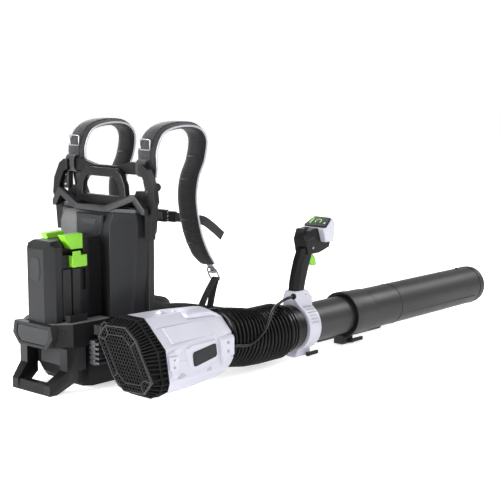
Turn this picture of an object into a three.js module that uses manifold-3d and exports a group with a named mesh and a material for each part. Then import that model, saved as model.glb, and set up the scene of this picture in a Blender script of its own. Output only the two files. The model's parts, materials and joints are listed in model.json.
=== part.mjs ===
// Backpack leaf blower: a battery pack frame worn on the back, an axial blower on its right side,
// a flexible hose, and a telescoping blow tube with a control handle.
// Millimetres. +X is the blowing direction, +Y the wearer's left, +Z up. The floor is z = 0,
// y = 0 is the middle of the pack, and x = 0 is the middle of its base.
import * as THREE from 'three';
import { mergeVertices } from 'three/addons/utils/BufferGeometryUtils.js';
import { ConvexGeometry } from 'three/addons/geometries/ConvexGeometry.js';
import Module from 'manifold-3d';

const wasm = await Module();
wasm.setup();

// ---- Driving dimensions --------------------------------------------------------------------
const GAP = 0.3; // clearance between pieces that touch
const BASE_TOP = 172; // top of the base, where the dock and the back shell stand
const BASE_FRONT = 52; // front wall of the base and of the back shell
const FRAME_FRONT = 72; // wearer's side of the harness frame
const SHELL_TOP = 435;
const STRAP_Y = 135; // middle of each shoulder strap
const STRAP_WIDTH = 66;
const BELT_Y = 126; // middle of each hip belt wing
const BLOWER_Y = -240; // blowing axis, to the right of the pack
const FAN_Z = 104; // fan axis height
const TUBE_Z = 86; // blow tube axis height
const CAGE_BACK = -62; // joint between intake cage and housing
const HOUSING_FRONT = 188;
const SEAM_Z = 95; // split between the two housing shells
const DUCT_RADIUS = 60;
const HOSE_START = 190;
const HOSE_END = 430;
const HOSE_RADIUS = 76;
const HOSE_SETTLED = 345; // where the hose reaches the height of the tube
const BAND_X = [302, 318]; // stiff band at the middle of the hose
const TUBE_RADIUS = 55;
const CLAMP_X = [503, 551]; // handle clamp ring on the blow tube
const CLAMP_RADIUS = 66;
const COLLAR_X = 720; // rear rim of the nozzle
const TIP_X = 1407; // front end of the nozzle
const GRIP_FOOT = [520, 186.5]; // x, z of the grip axis at its foot

// ---- Materials -----------------------------------------------------------------------------
const material = (color, roughness, metalness = 0) =>
  new THREE.MeshStandardMaterial({ color, roughness, metalness });
const CHARCOAL = material(0x35363a, 0.6);
const BLACK = material(0x1b1c1e, 0.55);
const RUBBER = material(0x111214, 0.45);
const LIGHT = material(0xd4d4df, 0.45);
const GREEN = material(0x78cc1e, 0.4);
const FABRIC = material(0x2c2d30, 0.95);
const STEEL = material(0xb4b5ba, 0.35, 0.8);
const COPPER = material(0xb87333, 0.4, 0.9);
const GLASS = material(0x20252a, 0.1);

// ---- Shape helpers -------------------------------------------------------------------------
// A closed geometry as a solid that can be joined and cut.
function solid(geometry) {
  const bare = geometry.clone();
  bare.deleteAttribute('normal');
  bare.deleteAttribute('uv');
  const merged = mergeVertices(bare, 1e-4);
  const mesh = new wasm.Mesh({
    numProp: 3,
    vertProperties: new Float32Array(merged.attributes.position.array),
    triVerts: new Uint32Array(merged.index.array),
  });
  return new wasm.Manifold(mesh);
}

const joined = (...pieces) => pieces.reduce((sum, piece) => sum.add(piece));

// Turns a solid drawn in (u, v, depth) so that u, v and depth lie along the named axes.
function turned(geometry, u, v, depth) {
  const unit = { x: [1, 0, 0], y: [0, 1, 0], z: [0, 0, 1] };
  const basis = [u, v, depth].map((name) => new THREE.Vector3(...unit[name]));
  return geometry.applyMatrix4(new THREE.Matrix4().makeBasis(...basis));
}

function extruded(outline, from, to, holes = []) {
  const toPoints = (list) => list.map(([u, v]) => new THREE.Vector2(u, v));
  const rim = toPoints(outline);
  if (THREE.ShapeUtils.isClockWise(rim)) rim.reverse();
  const shape = new THREE.Shape(rim);
  holes.forEach((hole) => shape.holes.push(new THREE.Path(toPoints(hole))));
  const geometry = new THREE.ExtrudeGeometry(shape, { depth: to - from, bevelEnabled: false });
  return geometry.translate(0, 0, from);
}

const swap = (list) => list.map(([a, b]) => [b, a]);
const prismX = (outlineYZ, from, to, holes = []) =>
  solid(turned(extruded(outlineYZ, from, to, holes), 'y', 'z', 'x'));
const prismY = (outlineXZ, from, to, holes = []) =>
  solid(turned(extruded(swap(outlineXZ), from, to, holes.map(swap)), 'z', 'x', 'y'));
const prismZ = (outlineXY, from, to, holes = []) =>
  solid(extruded(outlineXY, from, to, holes));

function block([x0, x1], [y0, y1], [z0, z1]) {
  const geometry = new THREE.BoxGeometry(x1 - x0, y1 - y0, z1 - z0);
  return solid(geometry.translate((x0 + x1) / 2, (y0 + y1) / 2, (z0 + z1) / 2));
}

// The tight skin round a set of points.
const hull = (points) => solid(new ConvexGeometry(points.map((p) => new THREE.Vector3(...p))));

// Every corner of a box, as hull points.
const corners = (xs, ys, zs) => xs.flatMap((x) => ys.flatMap((y) => zs.map((z) => [x, y, z])));

// A full outline from its y <= 0 half, listed from rear to front.
const bothSides = (half) => [...half, ...half.map(([x, y]) => [x, -y]).reverse()];

const mirrored = (piece) => piece.mirror([0, 1, 0]);

// A turned piece about a line parallel to X. The profile lists [x, radius] and is closed.
function turnedAboutX(profile, y, z, sides = 32) {
  const loop = [...profile, profile[0]].map(([x, radius]) => new THREE.Vector2(radius, x));
  const geometry = new THREE.LatheGeometry(loop, sides);
  geometry.applyMatrix4(new THREE.Matrix4().makeBasis(
    new THREE.Vector3(0, 1, 0), new THREE.Vector3(1, 0, 0), new THREE.Vector3(0, 0, 1)));
  geometry.translate(0, y, z);
  const bare = geometry.clone();
  const order = bare.index.array;
  for (let i = 0; i < order.length; i += 3) [order[i], order[i + 1]] = [order[i + 1], order[i]];
  const result = solid(bare);
  return result.volume() > 0 ? result : solid(geometry);
}

const ring = (x0, x1, outer, inner, y, z, sides = 32) =>
  turnedAboutX([[x0, inner], [x0, outer], [x1, outer], [x1, inner]], y, z, sides);
const disc = (x0, x1, radius, y, z, sides = 32) =>
  turnedAboutX([[x0, 0], [x0, radius], [x1, radius], [x1, 0]], y, z, sides);

// An upright cylinder.
function pin([x, y, z], radius, length) {
  const geometry = new THREE.CylinderGeometry(radius, radius, length, 16);
  geometry.rotateX(Math.PI / 2);
  return solid(geometry.translate(x, y, z));
}

// Skins a row of outlines, each with the same number of points, and caps both ends.
function loft(sections) {
  const count = sections[0].length;
  const vertices = sections.flat(2);
  const faces = [];
  for (let s = 0; s + 1 < sections.length; s += 1) {
    for (let i = 0; i < count; i += 1) {
      const j = (i + 1) % count;
      const a = s * count;
      const b = a + count;
      faces.push(a + i, a + j, b + j, a + i, b + j, b + i);
    }
  }
  const last = (sections.length - 1) * count;
  for (const [a, b, c] of capTriangles(sections[0])) faces.push(b, a, c);
  for (const [a, b, c] of capTriangles(sections.at(-1))) faces.push(last + a, last + b, last + c);
  const geometry = new THREE.BufferGeometry();
  geometry.setAttribute('position', new THREE.Float32BufferAttribute(vertices, 3));
  geometry.setIndex(faces);
  return solid(geometry);
}

// Triangles over one flat outline, in the outline's own turning direction.
function capTriangles(section) {
  const spread = [0, 1, 2].map((k) => {
    const values = section.map((p) => p[k]);
    return Math.max(...values) - Math.min(...values);
  });
  const flat = spread.indexOf(Math.min(...spread));
  const [u, v] = [0, 1, 2].filter((k) => k !== flat);
  const points = section.map((p) => new THREE.Vector2(p[u], p[v]));
  const turning = THREE.ShapeUtils.area(points) > 0;
  const triangles = THREE.ShapeUtils.triangulateShape(points, []);
  const sameTurn = (t) => {
    const area = THREE.ShapeUtils.area(t.map((i) => points[i]));
    return area > 0 === turning ? t : [t[1], t[0], t[2]];
  };
  return triangles.map(sameTurn);
}

// A smooth curve through the points.
const through = (points) =>
  new THREE.CatmullRomCurve3(points.map((p) => new THREE.Vector3(...p)));

// A round or ring section swept along a curve.
function swept(curve, outer, inner, steps, sides) {
  const circle = (radius) => Array.from({ length: sides }, (_, i) => {
    const angle = (2 * Math.PI * i) / sides;
    return new THREE.Vector2(radius * Math.cos(angle), radius * Math.sin(angle));
  });
  const shape = new THREE.Shape(circle(outer));
  if (inner > 0) shape.holes.push(new THREE.Path(circle(inner)));
  const options = { steps, extrudePath: curve, bevelEnabled: false };
  return solid(new THREE.ExtrudeGeometry(shape, options));
}

// A flat ribbon that follows a smooth x, z curve and has an even thickness and width.
function ribbon(pointsXZ, thickness, y0, y1, steps = 28) {
  const curve = new THREE.SplineCurve(pointsXZ.map(([x, z]) => new THREE.Vector2(x, z)));
  const edge = (side) => Array.from({ length: steps + 1 }, (_, i) => {
    const at = curve.getPoint(i / steps);
    const along = curve.getTangent(i / steps);
    const offset = (side * thickness) / 2;
    return [at.x - along.y * offset, at.y + along.x * offset];
  });
  return prismY([...edge(-1), ...edge(1).reverse()], y0, y1);
}

// ---- The group -----------------------------------------------------------------------------
const group = new THREE.Group();

function add(name, piece, look) {
  const { vertProperties, triVerts } = piece.getMesh();
  const geometry = new THREE.BufferGeometry();
  geometry.setAttribute('position', new THREE.BufferAttribute(vertProperties, 3));
  geometry.setIndex(new THREE.BufferAttribute(triVerts, 1));
  geometry.computeVertexNormals();
  const mesh = new THREE.Mesh(geometry, look);
  mesh.name = name;
  group.add(mesh);
}

// Adds a piece drawn on the right side (y < 0), and its mirror image on the left.
function addPair(name, piece, look) {
  add(`${name}_right`, piece, look);
  add(`${name}_left`, mirrored(piece), look);
}

// ---- Base: housing, bottom plate, bumper, foot loop, electronics ---------------------------
function baseHousing() {
  const upperPlan = bothSides([[-184, -62], [-150, -91], [30, -98], [BASE_FRONT, -94]]);
  const lowerPlan = bothSides([[-111, -58], [-96, -90], [30, -96], [BASE_FRONT, -90]]);
  const body = joined(
    prismZ(upperPlan, 114, BASE_TOP),
    prismZ(lowerPlan, 14, 114.5),
    prismX([[-60, 114.5], [-60, 54], [-42, 34], [42, 34], [60, 54], [60, 114.5]], -137, -105),
  );
  const tray = block([-92, 44], [-84, 84], [13, 148]);
  return body.subtract(tray);
}

function footLoop() {
  const leg = block([-172, -138], [-92, -64], [30, 113.7]);
  const arm = hull([...corners([-213, -190], [-73, -50], [0, 26]),
    ...corners([-172, -138], [-92, -64], [31, 58])]);
  const bar = hull([...corners([-213, -190], [-66, 66], [0]),
    ...corners([-209, -190], [-66, 66], [26])]);
  return joined(bar, leg, arm, mirrored(leg), mirrored(arm));
}

function rearBumper() {
  const outline = bothSides([[113, -54], [140, -77], [BASE_TOP, -70]]).map(([z, y]) => [y, z]);
  const recess = bothSides([[121, -47], [139, -62], [164, -58]]).map(([z, y]) => [y, z]);
  return prismX(outline, -205, -184 - GAP).subtract(prismX(recess, -206, -202));
}

function addBase() {
  add('base_housing', baseHousing(), CHARCOAL);
  const platePlan = bothSides([[-88, -50], [-70, -66], [44, -66]]);
  add('base_plate', prismZ(platePlan, 0, 14 - GAP), BLACK);
  add('rear_foot_loop', footLoop(), CHARCOAL);
  add('rear_bumper', rearBumper(), CHARCOAL);
  add('control_module', block([-70, 30], [-60, 60], [40, 70]), STEEL);
}

// ---- Battery dock --------------------------------------------------------------------------
const BUTTON_X = [-137, -77];
const LATCH_X = [-119, -72];

function dockSpine() {
  const plan = bothSides([[-190, -31], [-168, -51], [-148, -51], [-148, -45], [-57, -45],
    [-57, -40], [-12.6, -40]]);
  const side = [[-190, BASE_TOP + GAP], [-190, 356], [-167, 374], [-12.6, 374],
    [-12.6, BASE_TOP + GAP]];
  let spine = prismZ(plan, BASE_TOP + GAP, 374).intersect(prismY(side, -60, 60));
  for (const sign of [-1, 1]) {
    const span = (near, far) => [near * sign, far * sign].sort((a, b) => a - b);
    const edge = corners([-190, -140], [31 * sign, 60 * sign], [376]);
    const bevel = hull([...edge, ...corners([-191, -140], [60 * sign], [352])]);
    const buttonPocket = block([-140, -75], span(20, 60), [338, 380]);
    const latchPocket = block([-121, -70], span(28, 60), [304, 337]);
    const slot = block([-82, -68], span(38, 60), [245, 297.5]);
    spine = spine.subtract(bevel).subtract(buttonPocket).subtract(latchPocket).subtract(slot);
  }
  return spine;
}

// Two upright ribs on a backing strip: a battery slides down them.
function batteryRail() {
  const plan = [[-147, -45 - GAP], [-147, -54], [-122, -54], [-122, -48], [-118, -48],
    [-118, -56], [-95, -56], [-95, -45 - GAP]];
  return prismZ(plan, BASE_TOP + 8, 303);
}

function releaseButton() {
  const outline = [[BUTTON_X[0], 386], [BUTTON_X[1], 387], [BUTTON_X[1], 350], [-114, 350]];
  return prismY(outline, -47, -23);
}

function batteryLatch() {
  const body = block(LATCH_X, [-57, -36], [306, 335]);
  return joined(body, block([-117, -92], [-57, -54], [334, 346]));
}

function addDock() {
  add('battery_spine', dockSpine(), CHARCOAL);
  addPair('battery_rail', batteryRail(), CHARCOAL);
  const contacts = [-136, -118, -100].map((x) => block([x, x + 4], [-66, -58], [174, 186]));
  const terminal = joined(block([-142, -92], [-70, -54], [BASE_TOP + GAP, 176]), ...contacts);
  addPair('battery_terminal', terminal, COPPER);
  addPair('release_button', releaseButton(), GREEN);
  addPair('battery_latch', batteryLatch(), GREEN);
}

// ---- Back shell, top cap, carry handle, harness frame --------------------------------------
// Plan of the shell at one height. spread widens the flanks, inset thins it to the inner wall.
function shellPlan(z, spread, rear, inset) {
  const front = inset > 0 ? BASE_FRONT + 10 : BASE_FRONT;
  const half = [[rear, 0], [rear, -54], [rear - 18, -93], [8, -128 - spread], [18, -140 - spread],
    [front, -146 - spread]];
  const moved = half.map(([x, y], i) => [i < 5 ? x + inset : x, y + (y < 0 ? inset : 0)]);
  const full = [...moved, ...moved.slice(1).map(([x, y]) => [x, -y]).reverse()];
  return full.map(([x, y]) => [x, y, z]);
}

function backShell() {
  const low = BASE_TOP + GAP;
  const outer = loft([shellPlan(low, -14, -12, 0), shellPlan(300, 0, -12, 0),
    shellPlan(404, 6, -12, 0), shellPlan(SHELL_TOP, 0, 2, 0)]);
  const inner = loft([shellPlan(low + 6, -14, -12, 6), shellPlan(300, 0, -12, 6),
    shellPlan(402, 6, -12, 6), shellPlan(SHELL_TOP - 6, 0, 2, 6)]);
  const panel = hull([...corners([-20, -9], [-44, 44], [382, 398]),
    ...corners([-20, -9], [-34, 34], [376, 402])]);
  return outer.subtract(inner).subtract(panel);
}

function topCap() {
  const plan = bothSides([[-8, -58], [6, -104], [18, -138], [34, -150], [BASE_FRONT, -148]]);
  const foot = corners([-10, 4], [-62, -50], [SHELL_TOP + GAP, 449]);
  const peak = corners([6, 18], [-146, -134], [468, 482]);
  const tail = corners([12, 26], [-176, -164], [434, 448]);
  const collar = joined(hull([...foot, ...peak]), hull([...peak, ...tail]));
  const rear = block([-10, 4], [-56, 56], [SHELL_TOP + GAP, 449]);
  return joined(prismZ(plan, SHELL_TOP + GAP, 444), rear, collar, mirrored(collar));
}

function carryHandle() {
  const outer = bothSides([[447, -97], [500, -92], [528, -78], [541, -58]]).map(([z, y]) => [y, z]);
  const hole = bothSides([[471, -70], [500, -66], [514, -56], [519, -44]]).map(([z, y]) => [y, z]);
  const arch = prismX(outer, 25, 42, [hole]);
  const clear = block([20, 50], [-140, 140], [430, 446 + GAP]);
  const ears = hull(corners([10, 50], [-140, -98], [440, 472]));
  return arch.subtract(clear).subtract(ears).subtract(mirrored(ears));
}

// The moulded frame that carries the shell, the pads, the straps and the hip belt. Two arms
// reach round the shell's shoulders and hold the crossbar that the straps hang from.
function harnessFrame() {
  const prism = (outlineZY, x0, x1, holes = []) =>
    prismX(swap(outlineZY), x0, x1, holes.map(swap));
  const window = bothSides([[236, -70], [360, -92]]);
  const plate = prism(bothSides([[14, -88], [96, -92], [104, -134], [200, -134], [214, -128],
    [362, -140], [384, -158], [440, -164], [478, -160], [486, -150], [486, -104], [456, -88]]),
  BASE_FRONT + GAP, FRAME_FRONT, [window]);
  const crossbar = prism(bothSides([[528, -150], [552, -146], [560, -100], [546, -40]]), 44, 58);
  const arm = prism([[556, -150], [545, -168], [505, -190], [465, -196], [446, -186], [370, -180],
    [370, -158], [440, -158], [462, -170], [492, -168], [524, -150], [530, -136], [556, -136]],
  30, 46);
  const wing = hull([...corners([55, FRAME_FRONT - 1], [-158, -153], [384, 436]),
    ...corners([30, 46], [-178, -164], [384, 436])]);
  return joined(plate, crossbar, arm, wing, mirrored(arm), mirrored(wing));
}

function addShell() {
  add('back_shell', backShell(), CHARCOAL);
  add('top_cap', topCap(), CHARCOAL);
  add('carry_handle', carryHandle(), CHARCOAL);
  add('harness_frame', harnessFrame(), BLACK);
}

// ---- Harness: pads, straps, belt and their hardware ----------------------------------------
const STRAP_PATH = [[66, 522], [66, 555], [67, 592], [92, 632], [148, 647], [206, 640], [237, 611],
  [232, 560], [212, 510], [205, 450], [222, 370], [250, 312], [276, 280]];

function rectangleRing([x, z], width, height, opening, y0, y1) {
  const box = (w, h) => [[x - w, z - h], [x + w, z - h], [x + w, z + h], [x - w, z + h]];
  return prismY(box(width / 2, height / 2), y0, y1, [box(opening / 2, height / 2 - 4)]);
}

// A wire ladder lock that lies on the rear face of the strap.
function strapAdjuster() {
  const box = (w, h) => [[-w, -h], [w, -h], [w, h], [-w, h]];
  const at = (list) => list.map(([y, z]) => [y - STRAP_Y + 12, z + 602]);
  return prismX(at(box(20, 15)), 51, 55, [at(box(16, 11))]);
}

function lowerWebbing() {
  const span = [-STRAP_Y - 22, -STRAP_Y + 0.5];
  const rear = prismY([[297, 226], [302, 226], [219, 124], [213, 124]], ...span);
  const front = prismY([[297, 226], [302, 226], [268, 124], [262, 124]], ...span);
  return joined(rear, front);
}

function hipBelt() {
  const outline = [[FRAME_FRONT + GAP, 196], [200, 180], [372, 140], [390, 120], [372, 100],
    [200, 94], [FRAME_FRONT + GAP, 108]];
  return prismY(outline, -BELT_Y - 8, -BELT_Y + 8);
}

function addHarness() {
  const padFront = FRAME_FRONT + 28;
  add('back_pad', hull([...corners([FRAME_FRONT + GAP], [-108, 108], [228, 412]),
    ...corners([padFront], [-96, 96], [242, 398])]), FABRIC);
  add('lumbar_pad', hull([...corners([FRAME_FRONT + GAP], [-108, 108], [96, 214]),
    ...corners([padFront + 6], [-96, 96], [110, 200])]), FABRIC);
  const half = STRAP_WIDTH / 2;
  addPair('shoulder_strap', ribbon(STRAP_PATH, 14, -STRAP_Y - half, -STRAP_Y + half), FABRIC);
  addPair('strap_adjuster', strapAdjuster(), STEEL);
  addPair('lower_ring', rectangleRing([294, 249], 26, 40, 14, -STRAP_Y - 20, -STRAP_Y + 12), STEEL);
  addPair('lower_webbing', lowerWebbing(), FABRIC);
  addPair('hip_belt', hipBelt(), FABRIC);
  const inner = -STRAP_Y + half + GAP;
  add('chest_webbing_right', block([211, 214], [inner, -82], [392, 416]), FABRIC);
  add('chest_webbing_left', block([211, 214], [-7, -inner], [392, 416]), FABRIC);
  add('chest_buckle_male', block([207, 219], [-82 + GAP, -60], [390, 418]), BLACK);
  add('chest_buckle_female', block([206, 220], [-50, -7 - GAP], [388, 420]), BLACK);
}

// ---- Blower: cage, housing shells, duct, motor, fan ----------------------------------------
// Cross-section of the housing about the fan axis, as offsets along Y and Z.
const WIDE_SECTION = [[60, 94], [-10, 94], [-29, 78], [-84, 26], [-97, -54], [-90, -75],
  [-56, -94], [13, -94], [59, -83], [84, -58], [97, -20], [97, 54], [90, 75]];
const FRONT_SECTION = [[45, 66], [-12, 70], [-30, 64], [-64, 30], [-71, -38], [-62, -54],
  [-42, -68], [10, -68], [44, -62], [60, -44], [71, -16], [71, 38], [62, 56]];
const CAGE_FACE = [[94, 43], [67, 75], [-3, 79], [-41, 50], [-94, -43], [-67, -75], [3, -79],
  [41, -50]];

const placedAt = (x, section, scale) =>
  section.map(([y, z]) => [x, BLOWER_Y + y * scale, FAN_Z + z * scale]);

// The section part way from the wide one to the front one, with its wall thinned by inset.
function housingSection(x, t, inset) {
  const scaled = WIDE_SECTION.map(([y, z], i) => {
    const [fy, fz] = FRONT_SECTION[i];
    return [y + (fy - y) * t, z + (fz - z) * t];
  });
  return placedAt(x, scaled, 1 - inset / 90);
}

function housingBody() {
  const back = CAGE_BACK + GAP;
  const outer = loft([housingSection(back, 0.08, 0), housingSection(60, 0.2, 0),
    housingSection(150, 0.42, 0), housingSection(HOUSING_FRONT, 1, 0)]);
  const inner = loft([housingSection(back - 1, 0.08, 4.5), housingSection(60, 0.2, 4.5),
    housingSection(146, 0.42, 4.5), housingSection(HOUSING_FRONT - 6, 0.96, 5)]);
  const shallow = loft([housingSection(back, 0.08, 2), housingSection(60, 0.2, 2),
    housingSection(150, 0.42, 2), housingSection(HOUSING_FRONT, 1, 2)]);
  const panel = hull([[-48, -34, 68], [-40, -76, 28], [104, -34, 62], [96, -66, 30]].flatMap(
    ([x, y, z]) => [[x, BLOWER_Y + y, FAN_Z + z], [x, BLOWER_Y + y - 25, FAN_Z + z + 30]]));
  const recess = panel.subtract(shallow);
  const side = BLOWER_Y - 90;
  const rearBoss = hull([...corners([-58, -30], [side + 8, side - 6], [78, 112])]);
  const frontBoss = hull([...corners([126, 180], [side + 38, side + 12], [74, 128]),
    ...corners([132, 176], [side + 4], [80, 122])]);
  const bore = disc(120, HOUSING_FRONT + 5, DUCT_RADIUS + 0.4, BLOWER_Y, FAN_Z);
  return joined(outer, rearBoss, frontBoss).subtract(inner).subtract(bore).subtract(recess);
}

function intakeCage() {
  const rim = (x, scale) => placedAt(x, WIDE_SECTION, scale);
  const outer = hull([...placedAt(-120, CAGE_FACE, 1), ...rim(-80, 1), ...rim(CAGE_BACK, 1)]);
  const inner = hull([...placedAt(-116, CAGE_FACE, 0.95), ...rim(-80, 0.95),
    ...rim(CAGE_BACK + 1, 0.95)]);
  const slots = [-60, -45, -30, -15, 0, 15, 30, 45, 60].map((z) => {
    const middle = BLOWER_Y + z * 0.6;
    const half = 56 - Math.abs(z) * 0.45;
    return block([-125, -100], [middle - half, middle + half], [FAN_Z + z - 4, FAN_Z + z + 4]);
  });
  return slots.reduce((cage, slot) => cage.subtract(slot), outer.subtract(inner));
}

function blades(count, x0, x1, inner, outer, thickness, twist) {
  const one = block([x0, x1], [-thickness / 2, thickness / 2], [inner, outer]);
  const middle = (x0 + x1) / 2;
  const pitched = one.translate([-middle, 0, 0]).rotate([0, 0, twist]).translate([middle, 0, 0]);
  return Array.from({ length: count }, (_, i) =>
    pitched.rotate([(360 * i) / count, 0, 0]).translate([0, BLOWER_Y, FAN_Z]));
}

function fanDuct() {
  const wall = turnedAboutX([[40, 57.5], [40, DUCT_RADIUS], [216, DUCT_RADIUS], [216, 57.5]],
    BLOWER_Y, FAN_Z);
  const hub = turnedAboutX([[112, 32], [112, 36], [180, 36], [180, 32]], BLOWER_Y, FAN_Z, 24);
  return joined(wall, hub, ...blades(7, 130, 172, 35, 58.5, 3, 0));
}

function fanRotor() {
  const hub = turnedAboutX([[66, 0], [66, 10], [78, 26], [108, 28], [108, 0]], BLOWER_Y, FAN_Z, 24);
  const shaft = disc(100, 122, 5, BLOWER_Y, FAN_Z, 16);
  return joined(hub, shaft, ...blades(9, 80, 106, 24, 55.5, 3, 38));
}

function mountingArm() {
  const flank = BLOWER_Y + 97;
  const wedge = hull([...corners([-92, 44], [-99], [140, 165]),
    ...corners([-56, 44], [flank], [134, 152])]);
  const arm = hull([...corners([-50, 44], [-99], [60, 145]),
    ...corners([-50, 44], [flank], [86, 140])]);
  return joined(wedge, arm);
}

function sideVent() {
  const fins = [0, 1, 2, 3, 4].map((i) =>
    block([-106, -64], [-132, -98], [70 + 12 * i, 76 + 12 * i]));
  return joined(block([-104, -66], [-116, -99], [66, 128]), ...fins);
}

function addBlower() {
  const body = housingBody();
  const above = block([-200, 300], [-400, -100], [SEAM_Z + GAP / 2, 300]);
  const below = block([-200, 300], [-400, -100], [-100, SEAM_Z - GAP / 2]);
  add('housing_upper', body.intersect(above), LIGHT);
  add('housing_lower', body.intersect(below), LIGHT);
  add('intake_cage', intakeCage(), BLACK);
  add('fan_duct', fanDuct(), BLACK);
  add('fan_rotor', fanRotor(), CHARCOAL);
  const shaftHole = disc(112, 124, 6, BLOWER_Y, FAN_Z, 16);
  add('motor', disc(114, 176, 31, BLOWER_Y, FAN_Z, 24).subtract(shaftHole), STEEL);
  add('mounting_arm', mountingArm(), CHARCOAL);
  add('side_vent', sideVent(), STEEL);
}

// ---- Hose: two flexible halves and the stiff band between them -----------------------------
// Height of the hose axis: it sags smoothly from the fan axis to the tube axis.
function hoseAxis(x) {
  const t = THREE.MathUtils.smoothstep(x, HOSE_START, HOSE_SETTLED);
  return [x, BLOWER_Y, FAN_Z + (TUBE_Z - FAN_Z) * t];
}

function hosePiece(from, to, outer, inner, steps) {
  const line = new THREE.Curve();
  line.getPoint = (t) => new THREE.Vector3(...hoseAxis(from + (to - from) * t));
  return swept(line, outer, inner, steps, 24);
}

function addHose() {
  const bore = DUCT_RADIUS + 2;
  const [rear, front] = BAND_X;
  add('hose_rear', hosePiece(HOSE_START + 1, rear, HOSE_RADIUS, bore, 8), RUBBER);
  add('hose_band', hosePiece(rear + 1.5, front - 1.5, HOSE_RADIUS - 1, bore, 2), RUBBER);
  add('hose_front', hosePiece(front, HOSE_END - 2, HOSE_RADIUS - 3, bore, 8), RUBBER);
}

// ---- Blow tube, nozzle ---------------------------------------------------------------------
function nozzleTube() {
  const bore = TUBE_RADIUS + 1;
  const profile = [[COLLAR_X, bore], [COLLAR_X, 65], [COLLAR_X + 26, 66], [COLLAR_X + 32, 64],
    [COLLAR_X + 96, 63], [COLLAR_X + 98, 60.5], [TIP_X - 10, 59], [TIP_X, 57], [TIP_X, 55],
    [975, 55], [965, bore]];
  const key = hull([...corners([785, 905], [BLOWER_Y - 6, BLOWER_Y + 6], [TUBE_Z - 68]),
    ...corners([785, 914], [BLOWER_Y - 8, BLOWER_Y + 8], [TUBE_Z - 58])]);
  const bracket = block([COLLAR_X - 10, COLLAR_X + 38], [BLOWER_Y - 16, BLOWER_Y + 16],
    [2, TUBE_Z - 58]);
  const bump = block([1322, 1334], [BLOWER_Y - 3, BLOWER_Y + 3], [TUBE_Z + 57, TUBE_Z + 63]);
  return joined(turnedAboutX(profile, BLOWER_Y, TUBE_Z, 40), key, bracket, bump);
}

// A flat finger lever whose pivot eye stands on the side of a bracket.
function sideLever(pivotX, y, [z0, z1], length) {
  const eye = pin([pivotX, y, (z0 + z1) / 2], 6, z1 - z0);
  return joined(eye, block([pivotX, pivotX + length], [y - 3, y + 3], [z0, z1]));
}

function addTube() {
  const tube = turnedAboutX([[440, 52.5], [440, TUBE_RADIUS], [930, TUBE_RADIUS], [930, 52.5]],
    BLOWER_Y, TUBE_Z);
  add('blow_tube', tube, CHARCOAL);
  add('hose_cuff', turnedAboutX([[HOSE_END + 1, 55.5], [HOSE_END + 1, 64], [466, 64],
    [470, 61], [497, 61], [497, 55.5]], BLOWER_Y, TUBE_Z), BLACK);
  add('nozzle_tube', nozzleTube(), CHARCOAL);
  add('nozzle_lock', sideLever(COLLAR_X + 22, BLOWER_Y - 23, [5, 15], 52), BLACK);
}

// ---- Handle --------------------------------------------------------------------------------
// The grip leans forward more and more towards its head.
function gripX(z) {
  const rise = z - GRIP_FOOT[1];
  return GRIP_FOOT[0] + 0.2 * rise + 0.0012 * rise * rise;
}

function handleClamp() {
  const wall = ring(...CLAMP_X, CLAMP_RADIUS, TUBE_RADIUS + 0.6, BLOWER_Y, TUBE_Z);
  const across = (half) => [BLOWER_Y - half, BLOWER_Y + half];
  const boss = hull([
    ...corners([496, 546], across(19), [GRIP_FOOT[1] - GAP]),
    ...corners([490, 563], across(22), [165]),
    ...corners([494, 560], across(22), [154]),
    ...corners(CLAMP_X, across(32), [TUBE_Z + 54]),
  ]);
  const lug = hull([...corners([499, 563], across(15), [1, 14]), ...corners(CLAMP_X, across(24), [26])]);
  const bore = disc(480, 600, TUBE_RADIUS + 0.6, BLOWER_Y, TUBE_Z);
  return joined(wall, boss, lug).subtract(bore);
}

// One level cut through the grip: eight sides, longer fore and aft.
function gripSection(z, halfX, halfY) {
  const x = gripX(z);
  const cut = 0.5;
  return [[-halfX, -halfY * cut], [-halfX * cut, -halfY], [halfX * cut, -halfY],
    [halfX, -halfY * cut], [halfX, halfY * cut], [halfX * cut, halfY], [-halfX * cut, halfY],
    [-halfX, halfY * cut]].map(([dx, dy]) => [x + dx, BLOWER_Y + dy, z]);
}

function grip() {
  const stem = loft([gripSection(GRIP_FOOT[1], 23, 18), gripSection(212, 26, 17),
    gripSection(240, 27, 17), gripSection(268, 27, 18), gripSection(300, 26, 18)]);
  const head = prismY([[544, 284], [534, 326], [546, 353], [586, 353], [600.5, 313], [641, 310],
    [636, 296], [592, 284]], BLOWER_Y - 22, BLOWER_Y + 22);
  const triggerSlot = block([552, 610], [BLOWER_Y - 8.5, BLOWER_Y + 8.5], [232, 289]);
  const buttonWell = pin([564, BLOWER_Y, 351], 7, 16);
  return joined(stem, head).subtract(triggerSlot).subtract(buttonWell);
}

function displayHousing() {
  const side = [[587.5, 352], [601.5, 313.6], [642, 310.6], [651, 338], [650, 362], [636, 377],
    [597, 353]];
  const taper = hull([...corners([584], [BLOWER_Y - 43, BLOWER_Y + 43], [300, 380]),
    ...corners([652], [BLOWER_Y - 32, BLOWER_Y + 32], [300, 380])]);
  return prismY(side, BLOWER_Y - 45, BLOWER_Y + 45).intersect(taper);
}

function displayScreen() {
  const [low, high] = [[599, 354.8], [634, 376.3]];
  const level = (lift) => [
    ...[-38, 38].map((dy) => [low[0] - lift * 0.54, BLOWER_Y + dy, low[1] + lift * 0.84]),
    ...[-30, 30].map((dy) => [high[0] - lift * 0.54, BLOWER_Y + dy, high[1] + lift * 0.84])];
  return hull([...level(0.4), ...level(2.6)]);
}

function trigger() {
  const outline = [[566, 283], [578, 284], [592, 272], [600, 249], [590, 245], [576, 252],
    [562, 268]];
  return prismY(outline, BLOWER_Y - 7.5, BLOWER_Y + 7.5);
}

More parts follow.
